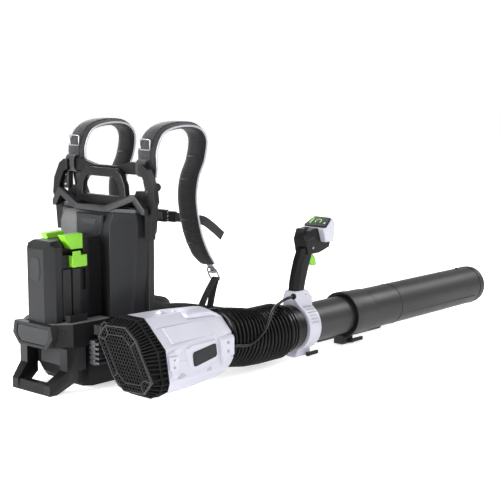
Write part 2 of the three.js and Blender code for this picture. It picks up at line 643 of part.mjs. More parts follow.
function cruiseLever() {
  const outline = [[530, 324], [524, 338], [534, 352], [550, 354], [562, 344], [558, 328]];
  return prismY(outline, BLOWER_Y - 34, BLOWER_Y - 22.5);
}

function addHandle() {
  add('handle_clamp', handleClamp(), LIGHT);
  add('clamp_lever', sideLever(538, BLOWER_Y - 29, [2, 12], 42), BLACK);
  add('grip', grip(), CHARCOAL);
  add('display_housing', displayHousing(), LIGHT);
  add('display_screen', displayScreen(), GLASS);
  add('trigger', trigger(), GREEN);
  add('cruise_lever', cruiseLever(), BLACK);
  add('power_button', pin([564, BLOWER_Y, 352], 6, 9), BLACK);
}

// ---- Control cable: clipped from the housing, over the hose, to the handle -----------------
const CABLE_RADIUS = 4;

// A point of the cable as it crosses the hose: degrees up from the hose's outer side.
function overHose(x, degrees) {
  const angle = THREE.MathUtils.degToRad(degrees);
  const radius = HOSE_RADIUS + CABLE_RADIUS + 0.6;
  return [x, BLOWER_Y - radius * Math.cos(angle), hoseAxis(x)[2] + radius * Math.sin(angle)];
}

const CABLE_REAR = [[181, -320.7, 98], [196, -320.8, 97], overHose(222, -7), overHose(244, -4),
  overHose(264, 3), overHose(284, 12), overHose(301, 20)];
const CABLE_FRONT = [overHose(319, 29), overHose(345, 44), overHose(372, 58), overHose(400, 69),
  overHose(428, 77)];
const CABLE_TOP = [overHose(433, 78), [450, -253, 168], [468, -254, 172], [489, -254, 173]];

function addCable() {
  const cable = (points) => swept(through(points), CABLE_RADIUS, 0, 12, 8);
  add('cable_rear', cable(CABLE_REAR), RUBBER);
  add('cable_front', cable(CABLE_FRONT), RUBBER);
  add('cable_top', cable(CABLE_TOP), RUBBER);
}

addBase();
addDock();
addShell();
addHarness();
addBlower();
addHose();
addTube();
addHandle();
addCable();

export default group;
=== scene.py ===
# Backpack leaf blower: materials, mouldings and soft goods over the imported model.
# Metres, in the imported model's frame: +X is the blowing direction, +Y the wearer's left, +Z up.
import json
import math

import bmesh
import bpy
from mathutils import Matrix, Vector


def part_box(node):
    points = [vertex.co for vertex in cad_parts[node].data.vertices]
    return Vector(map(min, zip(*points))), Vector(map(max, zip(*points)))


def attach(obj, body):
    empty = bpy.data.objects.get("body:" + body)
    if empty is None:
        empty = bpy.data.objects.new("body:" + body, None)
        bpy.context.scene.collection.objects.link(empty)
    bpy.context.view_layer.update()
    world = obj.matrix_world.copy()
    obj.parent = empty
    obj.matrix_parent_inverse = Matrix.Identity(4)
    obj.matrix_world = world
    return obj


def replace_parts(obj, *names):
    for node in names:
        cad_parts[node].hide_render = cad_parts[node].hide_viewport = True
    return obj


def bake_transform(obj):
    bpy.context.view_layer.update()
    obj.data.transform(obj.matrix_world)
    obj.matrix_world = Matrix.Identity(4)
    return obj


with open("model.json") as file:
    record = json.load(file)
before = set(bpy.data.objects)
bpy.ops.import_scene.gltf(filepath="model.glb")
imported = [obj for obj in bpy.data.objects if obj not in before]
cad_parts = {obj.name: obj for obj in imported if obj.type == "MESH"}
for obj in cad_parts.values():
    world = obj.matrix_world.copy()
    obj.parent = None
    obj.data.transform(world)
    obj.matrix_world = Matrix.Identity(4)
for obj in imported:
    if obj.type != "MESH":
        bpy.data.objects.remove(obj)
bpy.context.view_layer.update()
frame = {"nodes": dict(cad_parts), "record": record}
NODES = frame["nodes"]
SCENE = bpy.context.scene
SIDES = (("right", -1), ("left", 1))
X_AXIS, Y_AXIS, Z_AXIS = Vector((1, 0, 0)), Vector((0, 1, 0)), Vector((0, 0, 1))

# ---- Dimensions shared with the CAD, in metres -------------------------------------------
BLOWER_Y, FAN_Z, TUBE_Z = -0.240, 0.104, 0.086
HOSE_START, HOSE_SETTLED = 0.190, 0.345
BAND = (0.302, 0.318)
STRAP_Y = 0.135
CHEST_Z = 0.404
CLAMP_TRAVEL, COLLAR_TRAVEL, KEEL_GAP = 0.040, 0.020, 0.0025

# ---- View and stage -----------------------------------------------------------------------
CAMERA_PLACE, CAMERA_LOOK = (-2.1023, -2.4302, 0.8135), (0.7348, 0.6616, -0.1495)
LENS_MM = 90.72
FLOOR_HALF, FLOOR_DROP, FLOOR_GLOW = 14.0, 0.0005, 0.55
# the dome's brightness at two heights, from 0 at the horizon to 1 overhead
DOME_TONES = ((0.12, 1.0), (0.75, 0.30))

# ---- Sizes of the Blender pieces, in metres unless they say otherwise --------------------
SHARP_ANGLE = math.radians(28)
CAD_BEVEL, WELD_GAP = 0.0012, 0.00002
HOSE_ROOT, HOSE_BORE = 0.0605, 0.0580
RIB_POWER, RIB_STEPS, HOSE_SIDES = 0.95, 14, 72
CABLE_RADIUS, CABLE_REACH = 0.004, 0.0806
CABLE_END_Y, CABLE_END_Z = -0.254, 0.173
# numbers of the housing's long facets
OUTER_FACET, UPPER_FACET, TOP_FACET = 3, 2, 0
CAGE_SIDES, CAGE_FINS, FIN_HALF = 96, 54, 0.0011
# the cage's hexagonal mesh, in millimetres
MESH_PITCH, MESH_WALL, MESH_CELLS = 9.6, 1.5, 14
# a bar's inner corners are this much further in than its sides
CORNER_STRETCH = 1.15
PAD_WIDTH, PAD_THICKNESS, WELT, PIPING_RADIUS = 0.066, 0.018, 0.0022, 0.0027
STRAP_STEPS, PAD_STEPS = 220, 160
HIP_Y, BELT_Y = 0.126, 0.1455
VOXEL, CLOTH_FRAMES = 0.0055, 16
CHANNEL_WIDTH = 0.005
DOCK_FLANK_Y, DECK_Z = 0.0559, 0.1712
BRACKET_Y, BRACKET_Z = 0.158, 0.500
MARK_HEIGHT, MARK_THICKNESS = 0.0027, 0.0003
CLAMP_X, CLAMP_RADIUS = 0.528, 0.0668


# ---- Camera, floor and light --------------------------------------------------------------
def link(name, data):
    obj = bpy.data.objects.new(name, data)
    SCENE.collection.objects.link(obj)
    return obj


def aim(obj, direction):
    obj.rotation_mode = "QUATERNION"
    obj.rotation_quaternion = direction.to_track_quat("-Z", "Y")


def add_camera():
    data = bpy.data.cameras.new("camera")
    data.sensor_width = 36.0
    data.lens = LENS_MM
    data.clip_start, data.clip_end = 0.05, 60.0
    camera = link("camera", data)
    camera.location = CAMERA_PLACE
    aim(camera, Vector(CAMERA_LOOK))
    SCENE.camera = camera


def add_area(name, place, target, size, power):
    data = bpy.data.lights.new(name, "AREA")
    data.shape = "RECTANGLE"
    data.size, data.size_y = size
    data.energy = power
    light = link(name, data)
    light.location = place
    aim(light, Vector(target) - Vector(place))
    light.visible_camera = False


def add_floor():
    mesh = bpy.data.meshes.new("floor")
    s = FLOOR_HALF
    mesh.from_pydata([(x, y, 0) for x, y in rectangle(-s, s, -s, s)], [], [(0, 1, 2, 3)])
    floor = link("floor", mesh)
    floor.location.z = -FLOOR_DROP
    mat = bpy.data.materials.new("floor")
    mat.use_nodes = True
    shader = principled(mat)
    set_inputs(shader, Roughness=0.9, Specular_IOR_Level=0.1)
    set_inputs(shader, Emission_Color=(1, 1, 1, 1), Emission_Strength=FLOOR_GLOW)
    noise = node(mat, "ShaderNodeTexNoise", Scale=0.6)
    ramp = node(mat, "ShaderNodeValToRGB")
    ramp.color_ramp.elements[0].color = (0.95, 0.95, 0.95, 1)
    ramp.color_ramp.elements[1].color = (0.98, 0.98, 0.98, 1)
    wire(mat, noise, "Fac", ramp, "Fac")
    wire(mat, ramp, "Color", shader, "Base Color")
    mesh.materials.append(mat)


def add_dome_light():
    """A white dome that darkens towards its top."""
    world = bpy.data.worlds.new("studio")
    world.use_nodes = True
    background = world.node_tree.nodes["Background"]
    height = node(world, "ShaderNodeSeparateXYZ")
    dome = node(world, "ShaderNodeValToRGB")
    for element, (place, tone) in zip(dome.color_ramp.elements, DOME_TONES):
        element.position = place
        element.color = (tone, tone, tone, 1)
    wire(world, node(world, "ShaderNodeTexCoord"), "Generated", height, "Vector")
    wire(world, height, "Z", dome, "Fac")
    wire(world, dome, "Color", background, "Color")
    set_inputs(background, Strength=1.0)
    SCENE.world = world


def add_stage():
    add_floor()
    add_dome_light()
    SCENE.view_settings.view_transform = "Standard"
    middle = (0.4, -0.1, 0.2)
    add_area("key", (-1.2, -2.8, 2.2), middle, (2.2, 2.0), 58)
    add_area("rim", (1.8, 2.6, 2.4), middle, (2.6, 1.6), 50)
    add_area("side", (-3.2, 0.6, 1.2), (0, 0, 0.3), (1.4, 2.2), 290)
    add_area("fill", (0.3, -3.4, 1.0), (0.1, -0.24, 0.1), (2.4, 1.2), 10)
    add_area("stripe", (3.4, -1.5, 2.3), (0.7, -0.24, 0.1), (2.0, 0.8), 62)


# ---- Materials ----------------------------------------------------------------------------
def principled(mat):
    return mat.node_tree.nodes["Principled BSDF"]


def set_inputs(target, **values):
    """Sets inputs by name, an underscore standing for a space."""
    for key, value in values.items():
        target.inputs[key.replace("_", " ")].default_value = value


def new_material(name, color, roughness, metallic=0.0, coat=0.0, sheen=0.0):
    mat = bpy.data.materials.new(name)
    mat.use_nodes = True
    shader = principled(mat)
    set_inputs(shader, Base_Color=(*color, 1), Roughness=roughness, Metallic=metallic)
    set_inputs(shader, Coat_Weight=coat, Coat_Roughness=0.25, Sheen_Weight=sheen)
    if max(color) < 0.12 and not metallic:
        set_inputs(shader, Specular_IOR_Level=0.10)
    return mat


def node(mat, kind, **inputs):
    made = mat.node_tree.nodes.new(kind)
    set_inputs(made, **inputs)
    return made


def wire(mat, a, out, b, into):
    mat.node_tree.links.new(a.outputs[out], b.inputs[into])


def coords(mat, scale=(1, 1, 1)):
    """Coordinates fixed to the piece, in metres times scale."""
    mapping = node(mat, "ShaderNodeMapping", Scale=scale)
    wire(mat, node(mat, "ShaderNodeTexCoord"), "Object", mapping, "Vector")
    return mapping


def noise_on(mat, at, scale, detail=3.0):
    made = node(mat, "ShaderNodeTexNoise", Scale=scale, Detail=detail, Roughness=0.55)
    wire(mat, at, "Vector", made, "Vector")
    return made


def shade(color, k):
    return (*(min(1, part * k) for part in color), 1)


def vary_color(mat, source, out, color, spread, places=(0.3, 0.7)):
    """Base colour that wanders between darker and lighter than color."""
    ramp = node(mat, "ShaderNodeValToRGB")
    for element, place, k in zip(ramp.color_ramp.elements, places, (1 - spread, 1 + spread)):
        element.position = place
        element.color = shade(color, k)
    wire(mat, source, out, ramp, "Fac")
    return ramp


def vary_roughness(mat, source, low, high):
    span = node(mat, "ShaderNodeMapRange", To_Min=low, To_Max=high)
    wire(mat, source, "Fac", span, "Value")
    wire(mat, span, "Result", principled(mat), "Roughness")


def bump(mat, source, out, strength, distance, under=None):
    made = node(mat, "ShaderNodeBump", Strength=strength, Distance=distance)
    wire(mat, source, out, made, "Height")
    if under:
        wire(mat, under, "Normal", made, "Normal")
    return made


def color_socket(sockets, name):
    return [s for s in sockets if s.name == name and s.type == "RGBA"][0]


def moulded(name, color, roughness, grain=900.0, depth=0.0002, strength=0.35, spread=0.10,
            coat=0.0, edge_highlight=0.22):
    """Moulded plastic: spark-eroded grain, soft colour drift, polished patches, and a painted highlight
    that lightens sharp edges.
    """
    mat = new_material(name, color, roughness, coat=coat)
    shader = principled(mat)
    links = mat.node_tree.links
    at = coords(mat)
    fine = noise_on(mat, at, grain, 2.0)
    broad = noise_on(mat, at, 11.0, 4.0)
    base = vary_color(mat, broad, "Fac", color, spread)
    # painted highlight: sharp edges, found by pointiness, are mixed towards a lighter copy of the colour
    edge_highlight_mask = node(mat, "ShaderNodeMapRange", From_Min=0.52, From_Max=0.62, To_Max=edge_highlight)
    wire(mat, node(mat, "ShaderNodeNewGeometry"), "Pointiness", edge_highlight_mask, "Value")
    mix = node(mat, "ShaderNodeMix")
    mix.data_type = "RGBA"
    wire(mat, edge_highlight_mask, "Result", mix, "Factor")
    links.new(base.outputs["Color"], color_socket(mix.inputs, "A"))
    color_socket(mix.inputs, "B").default_value = shade([c + 0.04 for c in color], 1.7)
    links.new(color_socket(mix.outputs, "Result"), shader.inputs["Base Color"])
    vary_roughness(mat, broad, roughness - 0.08, roughness + 0.10)
    wire(mat, bump(mat, fine, "Fac", strength, depth), "Normal", shader, "Normal")
    return mat


def combine(mat, operation, first, second):
    """A maths node on two (node, output) pairs."""
    made = node(mat, "ShaderNodeMath")
    made.operation = operation
    for into, (source, out) in enumerate((first, second)):
        wire(mat, source, out, made, into)
    return made


def woven(name, color, thread, tilt=(0, 0, 0), spread=0.25, sheen=0.15, strength=0.6):
    """Woven cloth: two crossed sets of threads, thread pitch in metres."""
    mat = new_material(name, color, 0.9, sheen=sheen)
    shader = principled(mat)
    set_inputs(shader, Specular_IOR_Level=0.25)
    at = coords(mat)
    set_inputs(at, Rotation=tilt)
    waves = []
    for direction in ("X", "Z"):
        wave = node(mat, "ShaderNodeTexWave", Scale=0.314 / thread / 2, Distortion=0.6, Detail=1.0)
        wave.bands_direction = direction
        wire(mat, at, "Vector", wave, "Vector")
        waves.append((wave, "Fac"))
    threads = combine(mat, "MULTIPLY", *waves)
    broad = noise_on(mat, at, 26.0, 5.0)
    drift = combine(mat, "ADD", (threads, "Value"), (broad, "Fac"))
    base = vary_color(mat, drift, "Value", color, spread, (0.35, 1.2))
    wire(mat, base, "Color", shader, "Base Color")
    creases = bump(mat, broad, "Fac", 0.25, 0.002)
    weave = bump(mat, threads, "Value", strength, 0.0005, creases)
    wire(mat, weave, "Normal", shader, "Normal")
    vary_roughness(mat, broad, 0.8, 0.97)
    return mat


def metal(name, color, roughness):
    """Brushed metal, its lines drawn out along Z."""
    mat = new_material(name, color, roughness, metallic=1.0)
    shader = principled(mat)
    lines = noise_on(mat, coords(mat, (300, 300, 20)), 3.0)
    wire(mat, vary_color(mat, lines, "Fac", color, 0.12), "Color", shader, "Base Color")
    vary_roughness(mat, lines, roughness * 0.7, roughness * 1.4)
    wire(mat, bump(mat, lines, "Fac", 0.15, 0.0001), "Normal", shader, "Normal")
    return mat


CHARCOAL = moulded("charcoal_moulding", (0.0074, 0.0077, 0.0084), 0.33)
TEXTURED = moulded("textured_charcoal", (0.0190, 0.0195, 0.0210), 0.60, 420.0, 0.0006, 0.7)
BLACK = moulded("black_moulding", (0.0036, 0.0036, 0.0041), 0.34)
CAGE = moulded("cage_moulding", (0.0030, 0.0030, 0.0034), 0.52)
TUBE = moulded("tube_moulding", (0.0080, 0.0083, 0.0092), 0.43, 1400.0, 0.0001, 0.25, 0.06)
HOSE = moulded("hose_rubber", (0.0035, 0.0035, 0.0040), 0.24, 500.0, 0.00015, 0.2, 0.2, 0.10)
LIGHT = moulded("light_moulding", (0.395, 0.395, 0.455), 0.44, 1100.0, 0.0001, 0.25, 0.03, 0.1)
# darker copy of the light plastic, painted shade: used for the shaded windows, the clamp's ribs and the
# seam line
LIGHT_PAINTED_SHADE = moulded("light_moulding_painted_shade", (0.26, 0.26, 0.30), 0.5, 1000.0, 0.0001, 0.2, 0.05)
GREEN = moulded("green_moulding", (0.150, 0.42, 0.008), 0.40, 1000.0, 0.0001, 0.2, 0.06, 0.08)
GRIP = moulded("grip_rubber", (0.0085, 0.0085, 0.0095), 0.6, 700.0, 0.0003, 0.5)
DECK = moulded("textured_deck", (0.085, 0.085, 0.09), 0.66, 300.0, 0.0010, 0.9, 0.12)
# black plastic made lighter all over as a painted highlight, for thin trims such as the cage's face
# frame, its eye and the buckle trim
HIGHLIT_BLACK = moulded("black_with_painted_highlight", (0.026, 0.026, 0.028), 0.44, 900.0, 0.0002, 0.3, 0.1)
PLATE = moulded("badge_plate", (0.011, 0.0115, 0.013), 0.30, 1500.0, 0.0001, 0.15, 0.05, 0.12)
LABEL = moulded("blank_label", (0.018, 0.018, 0.020), 0.45, 900.0, 0.0001, 0.1, 0.05)
GLASS = moulded("screen_glass", (0.010, 0.011, 0.013), 0.12, 60.0, 0.00002, 0.1, 0.2, 0.6, 0.0)
GLOW = moulded("gauge_green", (0.24, 0.62, 0.03), 0.35, 900.0, 0.0001, 0.1, 0.05)
FABRIC = woven("pad_fabric", (0.0100, 0.0100, 0.0112), 0.0016)
WEBBING = woven("webbing", (0.013, 0.013, 0.0145), 0.0024, (0, 0, 0.4), 0.3, 0.2, 0.9)
PIPING = woven("piping", (0.34, 0.34, 0.37), 0.0012, (0.3, 0, 0.3), 0.04, 0.1, 0.15)
WIRE = metal("wire_steel", (0.34, 0.34, 0.36), 0.34)
ALLOY = metal("cast_alloy", (0.11, 0.11, 0.12), 0.48)
SCREW = metal("screw_steel", (0.34, 0.34, 0.36), 0.35)
BRASS = metal("contact_metal", (0.75, 0.48, 0.20), 0.3)

for look, level in ((CAGE, 0.04), (TUBE, 0.34), (CHARCOAL, 0.17), (BLACK, 0.14)):
    set_inputs(principled(look), Specular_IOR_Level=level)
set_inputs(principled(GLOW), Emission_Color=(0.3, 0.8, 0.05, 1), Emission_Strength=0.35)

# each slot's looks, the first one for the CAD nodes that are in it
SLOT_LOOKS = {
    "charcoal": (CHARCOAL, TEXTURED, PLATE, DECK, GRIP), "black_plastic": (BLACK, CAGE, HIGHLIT_BLACK),
    "tube_plastic": (TUBE,), "hose_rubber": (HOSE,), "light_plastic": (LIGHT, LIGHT_PAINTED_SHADE, LABEL),
    "green_plastic": (GREEN, GLOW), "strap_fabric": (FABRIC,), "webbing": (WEBBING, PIPING),
    "bright_metal": (ALLOY, WIRE, SCREW), "contact_metal": (BRASS,), "fan_plastic": (BLACK,),
    "screen": (GLASS,),
}
DARKER = ("base_housing", "rear_foot_loop", "carry_handle", "harness_frame", "grip")
BEVELS = {
    "base_housing": 0.003, "back_shell": 0.003, "top_cap": 0.002, "carry_handle": 0.004,
    "rear_foot_loop": 0.004, "battery_spine": 0.002, "harness_frame": 0.003,
    "housing_upper": 0.003, "housing_lower": 0.003, "display_housing": 0.004,
    "grip": 0.0035, "trigger": 0.002,
}


def dress_cad():
    """Every CAD node gets its slot's material, rounded edges and smooth normals."""
    slots = {s["node"]: s["material_slot"] for s in frame["record"]["subparts"]}
    for name, obj in NODES.items():
        look = BLACK if name in DARKER else SLOT_LOOKS[slots[name]][0]
        if not obj.material_slots:
            obj.data.materials.append(look)
        for slot in obj.material_slots:
            slot.link = "OBJECT"
            slot.material = look
        for poly in obj.data.polygons:
            poly.use_smooth = True
        obj.data.set_sharp_from_angle(angle=SHARP_ANGLE)
        weld = obj.modifiers.new("weld", "WELD")
        weld.merge_threshold = WELD_GAP
        soften(obj, BEVELS.get(name, CAD_BEVEL))


# ---- Mesh helpers -------------------------------------------------------------------------
def soften(obj, width, segments=2):
    """Rounds the edges and evens the normals beside them."""
    bevel = obj.modifiers.new("bevel", "BEVEL")
    bevel.width = width
    bevel.segments = segments
    bevel.limit_method = "ANGLE"
    bevel.angle_limit = SHARP_ANGLE
    bevel.use_clamp_overlap = True
    bevel.harden_normals = True
    normals = obj.modifiers.new("normals", "WEIGHTED_NORMAL")
    normals.keep_sharp = True


def new_piece(name, shape, look, bevel=0.0, body="pack", segments=2):
    """A piece from a shape's (verts, faces), with its look as its material."""
    verts, faces = shape
    mesh = bpy.data.meshes.new(name)
    mesh.from_pydata([tuple(v) for v in verts], [], faces)
    shaped = bmesh.new()
    shaped.from_mesh(mesh)
    bmesh.ops.recalc_face_normals(shaped, faces=shaped.faces)
    shaped.to_mesh(mesh)
    shaped.free()
    mesh.materials.append(look)
    for poly in mesh.polygons:
        poly.use_smooth = True
    obj = link(name, mesh)
    if bevel:
        soften(obj, bevel, segments)
    if body:
        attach(obj, body)
    return obj


def skin(rows, ring=False):
    """Faces over rows of points, each row a closed loop, with capped ends or closed to a ring."""
    count, last = len(rows[0]), len(rows) - 1
    faces = []
    for r in range(last + ring):
        a, b = r * count, (r + 1) % len(rows) * count
        for i in range(count):
            j = (i + 1) % count
            faces.append((a + i, a + j, b + j, b + i))
    if not ring:
        faces += [tuple(range(count)), tuple(last * count + i for i in range(count))]
    return [p for row in rows for p in row], faces


def circle(count):
    """The cosine and sine of evenly spaced angles."""
    return [(math.cos(2 * math.pi * k / count), math.sin(2 * math.pi * k / count))
            for k in range(count)]


def loop_about(centre, radius, side, up, count):
    """A round loop of points about centre, in the plane of side and up."""
    return [centre + radius * (c * side + s * up) for c, s in circle(count)]


def at_y(y, points):
    """Points given as (x, z), all placed at one y."""
    return [Vector((x, y, z)) for x, z in points]


def rectangle(a0, a1, b0, b1):
    return [(a0, b0), (a1, b0), (a1, b1), (a0, b1)]


def slab(outline, normal, thickness):
    """An outline of 3-D points thickened along normal."""
    n = Vector(normal).normalized() * thickness
    low = [Vector(p) for p in outline]
    return skin([low, [p + n for p in low]])


def catmull(a, b, c, d, t):
    """The point at t between b and c on a Catmull-Rom curve."""
    return 0.5 * (2 * b + (c - a) * t + (2 * a - 5 * b + 4 * c - d) * t * t
                  + (3 * b - a - 3 * c + d) * t ** 3)


def spline(points, count):
    """Evenly stepped points on a smooth curve through the given points."""
    pts = [Vector(p) for p in points]
    pts = [pts[0] * 2 - pts[1]] + pts + [pts[-1] * 2 - pts[-2]]
    fine = 24
    dense = [catmull(*pts[i - 1:i + 3], k / fine) for i in range(1, len(pts) - 2)
             for k in range(fine)]
    dense.append(pts[-2])
    lengths = [0.0]
    for a, b in zip(dense, dense[1:]):
        lengths.append(lengths[-1] + (b - a).length)
    out, k = [], 0
    for i in range(count):
        goal = lengths[-1] * i / (count - 1)
        while k < len(lengths) - 2 and lengths[k + 1] < goal:
            k += 1
        span = lengths[k + 1] - lengths[k] or 1e-9
        out.append(dense[k].lerp(dense[k + 1], (goal - lengths[k]) / span))
    return out


def spline_loop(points, count):
    """Points on a smooth closed curve through the given points."""
    pts = [Vector(p) for p in points]
    total = len(pts)
    closed = []
    for k in range(count):
        i, t = divmod(total * k / count, 1)
        near = [pts[(int(i) + step) % total] for step in (-1, 0, 1, 2)]
        closed.append(catmull(*near, t))
    return closed


def tangents(points):
    last = len(points) - 1
    return [(points[min(i + 1, last)] - points[max(i - 1, 0)]).normalized()
            for i in range(last + 1)]


def tube_along(points, radius, sides=16, closed=False):
    """A round tube along the points, with a steady side direction."""
    if closed:
        after = points[1:] + points[:1]
        along = [(after[i] - points[i - 1]).normalized() for i in range(len(points))]
    else:
        along = tangents(points)
    rows = []
    for p, t in zip(points, along):
        side = t.cross(Z_AXIS)
        if side.length < 0.2:
            side = t.cross(X_AXIS)
        side.normalize()
        rows.append(loop_about(p, radius, side, side.cross(t), sides))
    return skin(rows, ring=closed)


def ribbon(path, width, thick, upright=False):
    """A flat strip along the path: its width lies along Y, or its faces look along Y if upright."""
    rows = []
    for p, t in zip(path, tangents(path)):
        if upright:
            o = t.cross(Y_AXIS).normalized() * width / 2
            w = Y_AXIS * thick / 2
        else:
            o = Vector((-t.z, 0, t.x)).normalized() * thick / 2
            w = Y_AXIS * width / 2
        rows.append([p + o - w, p + o + w, p - o + w, p - o - w])
    return skin(rows)


def merged(parts):
    """Several (verts, faces) as one."""
    verts, faces = [], []
    for v, f in parts:
        shift = len(verts)
        verts += list(v)
        faces += [tuple(i + shift for i in face) for face in f]
    return verts, faces


def box_at(centre, size, turn=Matrix.Identity(3)):
    """A box, optionally turned by a 3x3 matrix."""
    half = Vector(size) / 2
    corners = rectangle(-half.x, half.x, -half.y, half.y)
    return skin([[Vector(centre) + turn @ Vector((dx, dy, dz)) for dx, dy in corners]
                 for dz in (-half.z, half.z)])


def peg(centre, normal, radius, height):
    """A short round boss that stands along normal."""
    n = Vector(normal).normalized()
    side = n.orthogonal().normalized()
    return skin([loop_about(Vector(centre) + n * h, radius, side, n.cross(side), 28)
                 for h in (0, height)])


def screw(name, centre, normal, radius, body="pack", look=SCREW):
    """A recessed six-lobe screw head in its countersink."""
    n = Vector(normal).normalized()
    side = n.orthogonal().normalized()
    other = n.cross(side)
    rows = []
    for reach, h, lobes in ((1, -0.001, 0), (1, 0.0006, 0), (0.86, 0.0010, 0),
                            (0.5, 0.0010, 0.16), (0.46, -0.0004, 0.16)):
        rows.append([Vector(centre) + n * h
                     + radius * reach * (1 + lobes * math.cos(6 * 2 * math.pi * k / 48))
                     * (c * side + s * other) for k, (c, s) in enumerate(circle(48))])
    new_piece(name, skin(rows), look, body=body)


# ---- Hose ---------------------------------------------------------------------------------
def hose_axis(x):
    """The hose's centre at x and its direction, easing from the fan's height to the tube's."""
    t = min(max((x - HOSE_START) / (HOSE_SETTLED - HOSE_START), 0), 1)
    s = t * t * (3 - 2 * t)
    slope = (TUBE_Z - FAN_Z) * 6 * t * (1 - t) / (HOSE_SETTLED - HOSE_START)
    centre = Vector((x, BLOWER_Y, FAN_Z + (TUBE_Z - FAN_Z) * s))
    return centre, Vector((1, 0, slope)).normalized()


def hose_rows(x0, x1, radius_at, steps):
    """Rings across the hose from x0 to x1, their radius worked out from 0 to 1 along it."""
    rows = []
    for i in range(steps + 1):
        centre, along = hose_axis(x0 + (x1 - x0) * i / steps)
        rows.append(loop_about(centre, radius_at(i / steps), Y_AXIS, along.cross(Y_AXIS), HOSE_SIDES))
    return rows


def bellows(part, x0, x1, ribs, crest, replaced):
    """A ribbed flexible hose with rounded crests, narrow grooves and a smooth bore."""
    def outer(t):
        return HOSE_ROOT + (crest - HOSE_ROOT) * abs(math.sin(math.pi * ribs * t)) ** RIB_POWER

    bore = hose_rows(x0, x1, lambda t: HOSE_BORE, 8)
    rows = hose_rows(x0, x1, outer, ribs * RIB_STEPS) + bore[::-1]
    obj = new_piece(f"hose_bellows_{part}", skin(rows, ring=True), HOSE, body=None)
    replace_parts(obj, replaced)
    return obj


def add_hose():
    first, last, gap = 0.1905, 0.4295, 0.0003
    rear = bellows("rear", first, BAND[0], 8, 0.0780, "hose_rear")
    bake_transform(rear)
    middle = bellows("middle", BAND[0] + gap, BAND[1] - gap, 1, 0.0768, "hose_band")
    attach(middle, "hose_mid")
    front = bellows("front", BAND[1], last, 8, 0.0760, "hose_front")
    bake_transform(front)


# ---- Cable --------------------------------------------------------------------------------
def over_hose(x, degrees):
    """A point of the cable's route, just outside the hose's crests."""
    centre, _ = hose_axis(x)
    angle = math.radians(degrees)
    return Vector((x, BLOWER_Y - CABLE_REACH * math.cos(angle),
                   centre.z + CABLE_REACH * math.sin(angle)))


def add_cable():
    rear = [Vector((0.181, -0.3207, 0.098)), Vector((0.196, -0.3208, 0.097)),
            over_hose(0.222, -7), over_hose(0.244, -4), over_hose(0.264, 3), over_hose(0.284, 12),
            over_hose(0.301, 20), over_hose(0.3105, 24.5)]
    front = [over_hose(0.3105, 24.5), over_hose(0.319, 29), over_hose(0.345, 44),
             over_hose(0.372, 58), over_hose(0.400, 69), over_hose(0.431, 77.5)]
    top = [over_hose(0.431, 77.5), Vector((0.450, -0.253, 0.168)),
           Vector((0.468, CABLE_END_Y, 0.172)), Vector((0.4895, CABLE_END_Y, CABLE_END_Z))]
    for part, points, bend in (("rear", rear, ("pack", "hose_mid", 0.200, 0.300)),
                               ("front", front, ("hose_mid", "wand", 0.320, 0.424)),
                               ("top", top, ("wand", "handle", 0.440, 0.488))):
        path = spline(points, 40)
        shape = tube_along(path, CABLE_RADIUS)
        obj = new_piece(f"control_cable_{part}", shape, HOSE, body=None)
        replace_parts(obj, f"cable_{part}")
        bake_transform(obj)
    socket = [loop_about(Vector((x, CABLE_END_Y, CABLE_END_Z)), r, Y_AXIS, Z_AXIS, 24)
              for x, r in ((0.4885, 0.0066), (0.4905, 0.0088), (0.494, 0.0088), (0.4955, 0.0066))]
    new_piece("cable_socket", skin(socket), BLACK, 0.0005, "handle")


# ---- Blower housing -----------------------------------------------------------------------
# outlines about the fan's axis, (y, z) in millimetres
WIDE = [(60, 94), (-10, 94), (-29, 78), (-84, 26), (-97, -54), (-90, -75), (-56, -94),
        (13, -94), (59, -83), (84, -58), (97, -20), (97, 54), (90, 75)]
NARROW = [(45, 66), (-12, 70), (-30, 64), (-64, 30), (-71, -38), (-62, -54), (-42, -68),
          (10, -68), (44, -62), (60, -44), (71, -16), (71, 38), (62, 56)]
FACE = [(94, 43), (67, 75), (-3, 79), (-41, 50), (-94, -43), (-67, -75), (3, -79), (41, -50)]
# how far the housing has narrowed from WIDE to NARROW at each x
NARROWING = [(-0.0617, 0.08), (0.060, 0.2), (0.150, 0.42), (0.188, 1.0)]


def about_fan(x, y, z):
    """A point at x, with y and z in millimetres from the fan's axis."""
    return Vector((x, BLOWER_Y + y / 1000, FAN_Z + z / 1000))


def housing_corner(x, i):
    for (xa, ta), (xb, tb) in zip(NARROWING, NARROWING[1:]):
        if x <= xb:
            break
    t = ta + (tb - ta) * (x - xa) / (xb - xa)
    return about_fan(x, *(wide + (narrow - wide) * t for wide, narrow in zip(WIDE[i], NARROW[i])))


def on_facet(i, x, u, out=0.0):
    """A point on the housing between corner lines i and i + 1, u from 0 to 1."""
    a, b = housing_corner(x, i), housing_corner(x, i + 1)
    a2, b2 = housing_corner(x + 0.004, i), housing_corner(x + 0.004, i + 1)
    p = a.lerp(b, u)
    normal = (b - a).cross(a2.lerp(b2, u) - p).normalized()
    if normal.dot(p - about_fan(x, 0, 0)) < 0:
        normal = -normal
    return p + normal * out


def facet_plate(name, outline, out, depth, look, bevel):
    """A plate that lies on the outer facet, its outline in (x, u)."""
    rows = [[on_facet(OUTER_FACET, x, u, lift) for x, u in outline] for lift in (out - depth, out)]
    new_piece(name, skin(rows), look, bevel)


def towards_middle(outline, taper):
    """The outline, drawn in towards the mean of its points."""
    mid_a = sum(a for a, b in outline) / len(outline)
    mid_b = sum(b for a, b in outline) / len(outline)
    return [(a + (mid_a - a) * taper, b + (mid_b - b) * taper) for a, b in outline]


def raised_field(name, i, outline, lift, taper):
    """A raised panel with sloping flanks on facet i."""
    rows = [[on_facet(i, x, u, h) for x, u in line]
            for line, h in ((outline, -0.003), (outline, 0.0), (towards_middle(outline, taper), lift))]
    new_piece(name, skin(rows), LIGHT, 0.0008)


